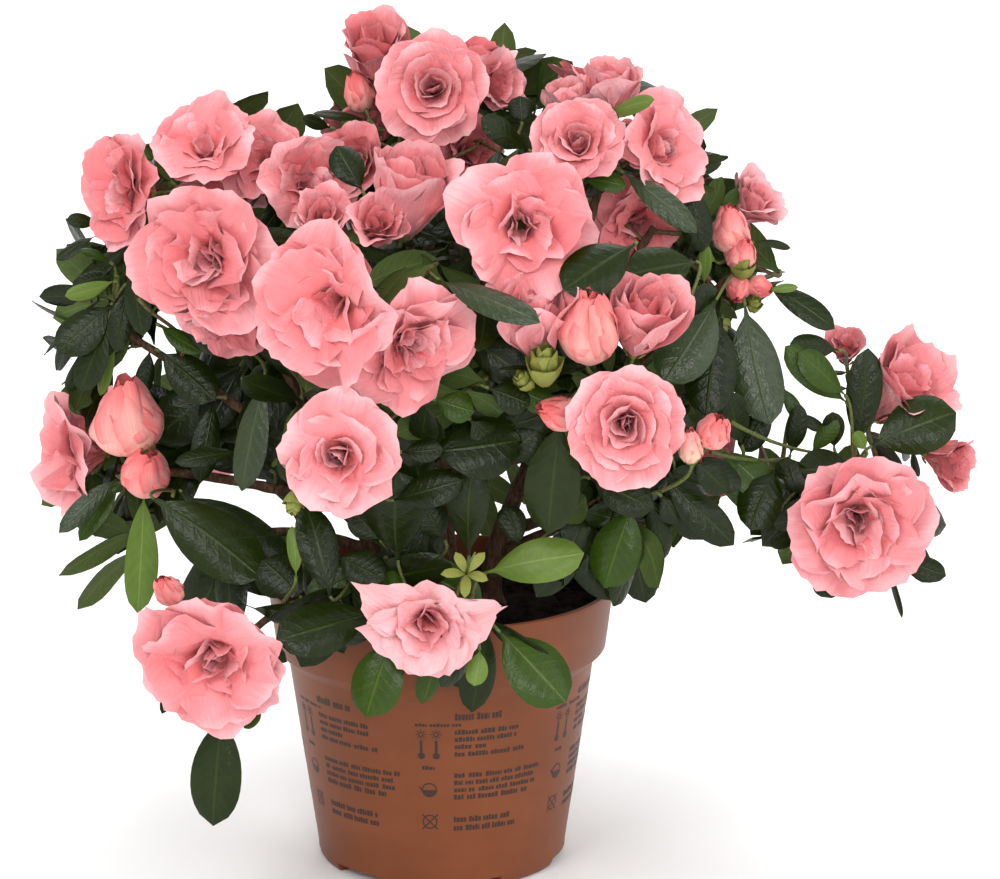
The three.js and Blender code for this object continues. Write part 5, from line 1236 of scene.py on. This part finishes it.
def in_a_bowl(row):
    """True where a leaf would stand in a flower's open mouth, cut through its petals, or grow across its face."""
    if row[8] < 0:
        return False
    for u in (0.2, 0.4, 0.6, 0.8, 1.0):
        p = row[0] + (row[1] - row[0]) * u
        for base, ax, k, style in zones:
            d = p - base
            h = float(d @ ax)
            r = float(np.linalg.norm(d - h * ax))
            if style in ("half", "cup"):
                if 2 * k < h < 42 * k and r < 3 * k + 0.42 * h:
                    return True
            elif r < 26 * k and 13 * k * min(1.0, r / (9 * k)) - 1.5 * k < h < 23 * k:
                return True
    if row[8]:
        p = row[0] + (row[1] - row[0]) * np.linspace(0.15, 1, 6)[:, None]
        d = p[:, None] - KEEP[None, :, :3]
        t = d @ FRONT
        off = np.linalg.norm(d - t[..., None] * FRONT, axis=-1)
        if np.any((t > -2) & (off < KEEP[None, :, 3])):
            return True
        # ways through the crown that stay open to the light behind it
        sight = unit(OPEN[:, :3] - EYE)
        d = p[:, None] - EYE
        along = (d * sight[None]).sum(-1)
        off = np.linalg.norm(d - along[..., None] * sight[None], axis=-1)
        if np.any(off < OPEN[None, :, 3] + 0.25 * row[3]):
            return True
    return False


keep = [(*c, reach) for c, reach in faces]
for row in leaves:
    if row[8] <= 0:  # a leaf that is listed in the table stays in the open
        keep += [(*(row[0] + (row[1] - row[0]) * u), 0.42 * row[3] + 1.5) for u in (0.35, 0.6, 0.8)]
KEEP = np.array(keep)
OPEN = np.array(GAPS, float)
leaves = [row for row in leaves if not in_a_bowl(row)]
# a shoot that has no leaf left isn't grown
alive = np.array([row[0] for row in leaves])
near_leaf = {"shoot": 10.0, "petiole": 1.0}
shoots = [q for q in shoots if q[3] not in near_leaf or float(np.min(np.linalg.norm(alive - q[0], axis=1))) < near_leaf[q[3]]]

petal_objs = petals.build("petals", per=430) + far_petals.build("far_petals", per=750, R=13, C=11)
near = [row for row in leaves if row[8] < 2]
far = [row for row in leaves if row[8] == 2]
half_n = math.ceil(len(near) / 2)
leaf_objs = [build_leaves("leaves_1", near[:half_n], 13, 7), build_leaves("leaves_2", near[half_n:], 13, 7), build_leaves("leaves_3", far, 10, 5)]

# ------------------------------------------------------------------ twigs: each shoot is joined to the nearest wood by a bent, tapering twig
twigs = Tubes()
xyz = np.array(nodes_xyz)
order = sorted(range(len(shoots)), key=lambda i: float(np.min(np.linalg.norm(xyz - shoots[i][0], axis=1))))
pts, rad = list(nodes_xyz), list(nodes_r)
for i in order:
    end, ax, r1, kind = shoots[i]
    rng = np.random.default_rng(6000 + i)
    X = np.array(pts)
    v = end - X
    dist = np.linalg.norm(v, axis=1)
    # wood behind the shoot is preferred to wood beside it
    cost = dist * (1.25 - 0.35 * (v @ ax) / np.maximum(dist, 1e-6))
    cost[dist < 2.0] += 30
    k = int(np.argmin(cost))
    a, L = X[k], dist[k]
    if L < 1:
        continue
    r0 = min(rad[k] * 0.8, r1 * (1.25 + L / 120.0))
    p1 = a + unit(v[k]) * L * 0.35 + np.array([0, 0, 0.05 * L]) + rng.normal(size=3) * 0.03 * L
    p2 = end - ax * min(0.4 * L, 5.0 if kind == "petiole" else 12.0)
    n = max(6, int(L / 2.0))
    t = np.linspace(0, 1, n)[:, None]
    path = (1 - t) ** 3 * a + 3 * t * (1 - t) ** 2 * p1 + 3 * t**2 * (1 - t) * p2 + t**3 * end
    V, Q, s = tube(path, np.linspace(r0, r1, n), 6, 0.06, 6500 + i)
    green = {"pedicel": 0.95, "shoot": 0.6, "petiole": 0.9}[kind]
    twigs.add(V, Q, np.clip(s / max(s[-1], 1) * green + (0.2 if kind != "shoot" else 0), 0, 1))
    if kind != "petiole":
        for q in range(2, n - 1, 2):
            pts.append(path[q])
            rad.append(r0 + (r1 - r0) * q / n)

for i, (a, b_, lift, r0, r1) in enumerate(STALKS):
    mid = (a + b_) / 2 + np.array([0, 0, lift])
    V, Q, s = tube(bezier(a, mid, b_, 40), np.linspace(r0, r1, 40), 8, 0.05, 6900 + i)
    twigs.add(V, Q, 0.9)

# ------------------------------------------------------------------ sepals
cal = []


def scales(base, ax, size, n, spread, turn, broad=0.5):
    """A ring of green scales clasping what stands on the shoot."""
    e1, e2 = frame_of(ax)
    for k in range(n):
        a = TAU * k / n + turn
        out = math.cos(a) * e1 + math.sin(a) * e2
        q = math.radians(spread)
        d = math.cos(q) * ax + math.sin(q) * out
        b0 = base - ax * 1.0 + out * 0.8
        cal.append((b0, b0 + d * size, unit(out * math.cos(q) - ax * math.sin(q)), size * broad, 0.10, -0.35, "y", 0.5))


for i, (base, ax, size, spread) in enumerate(sepals):
    scales(base, ax, size, 5, spread, i)
for i, (x, y, z, az, el, size, kind) in enumerate(CALYXES):
    ax = facing(az, el)
    e1, e2 = frame_of(ax)
    base = np.array([x, y, z], float)
    if kind == "star":  # the green star left where a flower has dropped
        for k in range(5):
            a = TAU * k / 5 + i
            out = math.cos(a) * e1 + math.sin(a) * e2
            d = unit(0.35 * ax + out)
            cal.append((base, base + d * size * (0.8 + 0.15 * (k % 3)), ax, size * 0.36, 0.12, 0.25, "y", 0.5))
        V, Q, s = tube(np.stack([base, base + ax * size * 0.8, base + ax * size * 1.7 + e1 * 0.8]), [0.55, 0.5, 0.3], 6)
        twigs.add(V, Q, 1.0)
    else:  # a bud still wrapped in its scales
        scales(base, ax, size * 0.8, 5, 30, i, 0.7)
        scales(base + ax * 0.12 * size, ax, size * 0.9, 4, 15, i + 0.6, 0.66)
        scales(base + ax * 0.22 * size, ax, size * 0.9, 3, 5, i + 1.3, 0.5)
    shoots.append((base, ax, 0.6, "pedicel"))
calyx_obj = build_leaves("calyx_sepals", cal, 7, 5)
calyx_obj.data.materials.clear()
for k in range(5):
    calyx_obj.data.materials.append(calyx_mat)
bark_obj = bark.build("bark_limbs", bark_mat)
twig_obj = twigs.build("twigs", twig_mat)

# ------------------------------------------------------------------ pot
def pot_mesh():
    p = POT
    w = p["wall"]
    raw = [
        (0, 0), (14, 0), (FEET["inner"], 0), (36, 0), (p["base_r"], 0), (p["base_r"] + 1.0, 0.25), (p["foot_r"] - 0.5, 1.6), (p["foot_r"] - 0.1, 3.1), (p["foot_r"], p["foot_z"]),
        (46.171, 24.0), (49.233, 45.0), (52.223, 65.5), (p["neck_r"] - 0.1, p["neck_z"] - 0.6), (p["neck_r"] + 0.25, p["neck_z"] + 0.1), (p["band_r"] - 0.5, p["band_z"] - 0.6), (p["band_r"], p["band_z"] + 0.2),
        (58.3, 84.0), (59.4, 92.5), (p["rim"] - 0.2, 96.4), (p["rim"], 97.6), (p["rim"] - 0.15, 98.3), (p["rim"] - 0.6, p["height"]),
        (p["rim"] - 1.3, p["height"]), (p["rim"] - 1.7, 98.1), (p["rim"] - 2.0, 97.0), (p["band_r"] - w + 0.9, 86.0), (p["band_r"] - w, p["band_z"] + 1.2), (p["neck_r"] - w, p["neck_z"] + 0.4),
        (49.23 - w, 45.0), (p["foot_r"] - w, 8.4), (p["foot_r"] - w - 1.2, 5.4), (p["foot_r"] - w - 3.0, p["floor"]), (20, p["floor"]), (0, p["floor"]),
    ]
    prof = [raw[0]]
    for a, c in zip(raw, raw[1:]):  # extra rings on long runs keep the shading even
        k = max(1, int(math.dist(a, c) / 5.0))
        prof += [(a[0] + (c[0] - a[0]) * j / k, a[1] + (c[1] - a[1]) * j / k) for j in range(1, k + 1)]
    prof = np.array(prof)
    edges = []
    for k in range(FEET["count"]):
        m = math.radians(FEET["first"] + 360 / FEET["count"] * k)
        h = math.radians(FEET["notch"] / 2)
        edges += [(m - h - 0.006, 0), (m - h, 1), (m + h, 1), (m + h + 0.006, 0)]
    keep = np.array([e[0] % TAU for e in edges])
    plain = [a for a in np.linspace(0, TAU, 180, endpoint=False) if np.min(np.abs((a - keep + math.pi) % TAU - math.pi)) > 0.009]
    plain = plain[: len(plain) - (len(plain) + len(keep)) % 2]
    ang = np.array(sorted(plain + keep.tolist()))
    inside = np.zeros(len(ang), bool)
    for k in range(FEET["count"]):
        m = math.radians(FEET["first"] + 360 / FEET["count"] * k)
        h = math.radians(FEET["notch"] / 2)
        inside |= np.abs((ang - m + math.pi) % TAU - math.pi) <= h + 1e-6
    r, z = prof[1:-1, 0], prof[1:-1, 1]
    lower = np.arange(len(r)) < 26
    Z = np.tile(z, (len(ang), 1))
    cut = (r > FEET["inner"] + 0.5) & (z < FEET["height"]) & (np.cumsum(z > 20) == 0)
    for j in np.nonzero(inside)[0]:
        Z[j, cut] = FEET["height"]
    V = np.stack([r[None] * np.cos(ang)[:, None], r[None] * np.sin(ang)[:, None], Z], -1).reshape(-1, 3)
    n, c = len(ang), len(r)
    i = np.arange(n)[:, None] * c
    i2 = ((np.arange(n) + 1) % n)[:, None] * c
    j = np.arange(c - 1)[None]
    Q = np.stack([i + j, i2 + j, i2 + j + 1, i + j + 1], -1).reshape(-1, 4)
    a0, a1 = len(V), len(V) + 1
    V = np.concatenate([V, [[0, 0, 0], [0, 0, POT["floor"]]]])
    k = np.arange(0, n - 1, 2)
    k2, k3 = k + 1, (k + 2) % n
    bot = np.stack([np.full(len(k), a0), k3 * c, k2 * c, k * c], 1)
    top = np.stack([np.full(len(k), a1), k * c + c - 1, k2 * c + c - 1, k3 * c + c - 1], 1)
    return V, np.concatenate([Q, bot, top]), n


V, Q, n_ang = pot_mesh()
assert n_ang % 2 == 0, n_ang
pot_obj = quad_mesh("pot_wall", V, Q, [pot_mat])
pot_obj.data.set_sharp_from_angle(angle=math.radians(40))
for k in range(FEET["count"]):
    m = math.radians(FEET["first"] + 360 / FEET["count"] * k)
    bpy.ops.mesh.primitive_cylinder_add(vertices=24, radius=FEET["hole"] * MM, depth=0.014, location=(math.cos(m) * (FEET["inner"] + 5) * MM, math.sin(m) * (FEET["inner"] + 5) * MM, 0.0035))
    cutter = bpy.context.object
    mod = pot_obj.modifiers.new("hole", "BOOLEAN")
    mod.object, mod.operation, mod.solver = cutter, "DIFFERENCE", "EXACT"
    bpy.context.view_layer.objects.active = pot_obj
    bpy.ops.object.modifier_apply(modifier=mod.name)
    bpy.data.objects.remove(cutter, do_unlink=True)

# ------------------------------------------------------------------ plain marks printed on the wall: rows of dashes and simple signs, no lettering
def wall_r(z):
    return np.interp(z, [POT["foot_z"], POT["neck_z"]], [POT["foot_r"], POT["neck_r"]])


class Marks:
    def __init__(self):
        self.V, self.Q, self.n = [], [], 0

    def patch(self, A, H, R, C):
        """A patch of R by C points at angles A and heights H on the wall (angle 0 faces the front)."""
        r = wall_r(H) + 0.06
        V = np.stack([r * np.sin(A), -r * np.cos(A), H], -1).reshape(-1, 3)
        self.V.append(V)
        self.Q.append(grid_quads(1, R, C) + self.n)
        self.n += len(V)

    def word(self, x0, x1, z, h, rng):
        """A run of little upright blocks of uneven height."""
        x = x0
        while x < x1 - 0.4:
            w = min(rng.uniform(0.7, 1.15), x1 - x)
            top = h * rng.choice([0.5, 0.5, 0.72])
            X = np.array([[x, x + w], [x, x + w]]) / PRINT_R
            Z = np.array([[z - h * 0.5] * 2, [z + top] * 2])
            self.patch(X, Z, 2, 2)
            x += w + 0.24

    def ring(self, x, z, r0, r1, a0=0.0, a1=TAU, n=28):
        t = np.linspace(a0, a1, n)
        rr = np.array([r0, r1])[:, None]
        self.patch((x + rr * np.cos(t)) / PRINT_R, z + rr * np.sin(t), 2, n)

    def line(self, x0, z0, x1, z1, w):
        dx, dz = x1 - x0, z1 - z0
        L = math.hypot(dx, dz)
        nx, nz = -dz / L * w / 2, dx / L * w / 2
        t = np.linspace(0, 1, 6)
        X = np.array([x0 + dx * t + nx, x0 + dx * t - nx])
        Z = np.array([z0 + dz * t + nz, z0 + dz * t - nz])
        self.patch(X / PRINT_R, Z, 2, 6)


marks = Marks()
rng = np.random.default_rng(21)
for x0 in PRINT_COLUMNS:
    for z, left, w, h in PRINT_ROWS:
        x, end = x0 + left, x0 + left + w
        while x < end - 1.0:
            L = min(rng.uniform(2.6, 8.0), end - x)
            marks.word(x, x + L, z, h, rng)
            x += L + 0.9
    s = x0 - 8.6
    for dx in (-2.5, 2.5):  # two plain bars with a bulb, a rayed dot above each
        marks.line(s + dx, 51.6, s + dx, 56.6, 0.9)
        marks.ring(s + dx, 50.8, 0.0, 1.2)
        for k in range(8):
            a = TAU * k / 8
            marks.line(s + dx + 1.1 * math.cos(a), 58.8 + 1.1 * math.sin(a), s + dx + 1.9 * math.cos(a), 58.8 + 1.9 * math.sin(a), 0.32)
        marks.ring(s + dx, 58.8, 0.55, 0.95, n=16)
    marks.ring(s, 38.0, 2.2, 2.7, n=30)  # a half-filled round
    marks.ring(s, 38.0, 0.0, 2.2, math.pi, TAU, 18)
    marks.line(s - 3.6, 39.2, s - 2.4, 37.6, 0.5)
    marks.ring(s, 26.0, 2.2, 2.7, n=30)  # a ring with a cross
    marks.line(s - 2.8, 23.2, s + 2.8, 28.8, 0.5)
    marks.line(s - 2.8, 28.8, s + 2.8, 23.2, 0.5)
marks_obj = quad_mesh("pot_marks", np.concatenate(marks.V), np.concatenate(marks.Q), [ink_mat])

# ------------------------------------------------------------------ soil
rng = np.random.default_rng(31)
RS, CS = 56, 200
rad_ = np.linspace(0.0, 57.0, RS)[1:]
a = np.linspace(0, TAU, CS, endpoint=False)
X, Y = rad_[:, None] * np.cos(a), rad_[:, None] * np.sin(a)
H = 0
for k in range(60):
    f = rng.uniform(0.1, 1.6)
    t = rng.uniform(0, TAU)
    H = H + np.sin(f * (X * math.cos(t) + Y * math.sin(t)) + rng.uniform(0, TAU)) / (1 + 2.2 * f)
H = SOIL_TOP - 0.6 - 0.5 * smooth((rad_[:, None] - 40) / 17) + 0.32 * H
for name, (foot, *_rest) in STEMS.items():
    H = H + 1.0 * np.exp(-(((X - foot[0]) ** 2 + (Y - foot[1]) ** 2) / 60.0))
H = np.minimum(H, SOIL_TOP + 0.9)
side_r = [57.0, 54.9, 51.2, 41.3, 39.0]
side_z = [90.6, 78.0, 73.4, 8.0, 4.9]
V = [np.stack([X, Y, H], -1).reshape(-1, 3)]
for r_, z_ in zip(side_r, side_z):
    V.append(np.stack([r_ * np.cos(a), r_ * np.sin(a), np.full(CS, z_)], -1))
V = np.concatenate(V)
R_ = len(rad_) + len(side_r)
Q = grid_quads(1, R_, CS, wrap=True)
c0, c1 = len(V), len(V) + 1
V = np.concatenate([V, [[0, 0, SOIL_TOP - 0.3], [0, 0, 4.9]]])
j = np.arange(0, CS, 2)
Q = np.concatenate([Q, np.stack([np.full(len(j), c0), (j + 2) % CS, (j + 1) % CS, j], 1), np.stack([np.full(len(j), c1), (R_ - 1) * CS + j, (R_ - 1) * CS + j + 1, (R_ - 1) * CS + (j + 2) % CS], 1)])
soil_obj = quad_mesh("peat_surface", V, Q, [soil_mat])
crumbs = Tubes()
oct_dirs = None
for k in range(900):
    r_ = 56.5 * math.sqrt(rng.random())
    t = rng.uniform(0, TAU)
    size = rng.uniform(0.4, 1.5) * (1.5 if rng.random() < 0.08 else 1)
    size = min(size, 57.0 - r_ + 0.2)
    if size < 0.3:
        continue
    c = np.array([r_ * math.cos(t), r_ * math.sin(t), SOIL_TOP - 0.4 + size * 0.3])
    th = np.linspace(0.25, math.pi - 0.25, 4)[:, None]
    ph = np.linspace(0, TAU, 6, endpoint=False)[None]
    rr = size * rng.uniform(0.7, 1.25, (4, 6))
    q = np.stack([rr * np.sin(th) * np.cos(ph), rr * np.sin(th) * np.sin(ph), 0.7 * rr * np.cos(th) + 0 * ph], -1).reshape(-1, 3) + c
    q = np.concatenate([q, [c + [0, 0, size * 0.7], c - [0, 0, size * 0.7]]])
    Qc = grid_quads(1, 4, 6, wrap=True)[:, ::-1]
    jj = np.arange(0, 6, 2)
    Qc = np.concatenate([Qc, np.stack([np.full(3, 24), jj, (jj + 1) % 6, (jj + 2) % 6], 1), np.stack([np.full(3, 25), 18 + (jj + 2) % 6, 18 + jj + 1, 18 + jj], 1)])
    crumbs.add(q, Qc, rng.random())
crumb_obj = crumbs.build("peat_crumbs", soil_mat)

# ------------------------------------------------------------------ what each piece stands for
def mine(ob, slot_name, *nodes):
    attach(ob, "root")
    if nodes:
        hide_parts(*nodes)


every = sorted(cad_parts)
masses = [n for n in every if n.startswith("mass_")]
mine(pot_obj, "pot_plastic", "pot")
mine(marks_obj, "pot_plastic")
mine(soil_obj, "root_ball_soil", "root_ball")
mine(crumb_obj, "root_ball_soil")
mine(bark_obj, "azalea_wood", *[n for n in every if n.startswith(("stem_", "bough_"))])
mine(twig_obj, "azalea_wood")
for k, ob in enumerate(petal_objs):
    mine(ob, "bloom_mass", *(masses if k == 0 else []))
for k, ob in enumerate(leaf_objs):
    mine(ob, "leaf_mass", *(masses if k == 0 else []))
mine(calyx_obj, "leaf_mass")

# ------------------------------------------------------------------ floor, light, camera
bpy.ops.mesh.primitive_plane_add(size=14, location=(0, 2.0, -0.0002))
floor = bpy.context.object
floor.name = "studio_floor"
floor.data.materials.append(floor_mat)
floor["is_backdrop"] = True

world = bpy.data.worlds.new("studio")
scene.world = world
world.use_nodes = True
world.node_tree.nodes["Background"].inputs[0].default_value = (1, 1, 1, 1)
world.node_tree.nodes["Background"].inputs[1].default_value = WORLD


def area(name, loc, target, size, power, color=(1, 1, 1)):
    d = bpy.data.lights.new(name, "AREA")
    d.shape, d.size, d.energy, d.color = "DISK", size, power, color
    o = bpy.data.objects.new(name, d)
    scene.collection.objects.link(o)
    o.location = loc
    from mathutils import Vector

    o.rotation_mode = "QUATERNION"
    o.rotation_quaternion = (Vector(target) - Vector(loc)).to_track_quat("-Z", "Y")
    return o


for row in LIGHTS:
    area(*row)

cam = bpy.data.cameras.new("camera")
cam.sensor_width, cam.lens = 36.0, 158.4
cam.clip_start, cam.clip_end = 0.05, 60.0
cam_obj = bpy.data.objects.new("camera", cam)
scene.collection.objects.link(cam_obj)
cam_obj.location = (0.0205, -1.470, 0.5236)
cam_obj.rotation_euler = (math.radians(90 - 14.3), 0, 0)
scene.camera = cam_obj
scene.view_settings.view_transform = "Standard"

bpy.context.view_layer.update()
tri = {o.name: len(o.data.polygons) * 2 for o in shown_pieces() if o.type == "MESH"}
print("TRIANGLES", sum(tri.values()), tri)
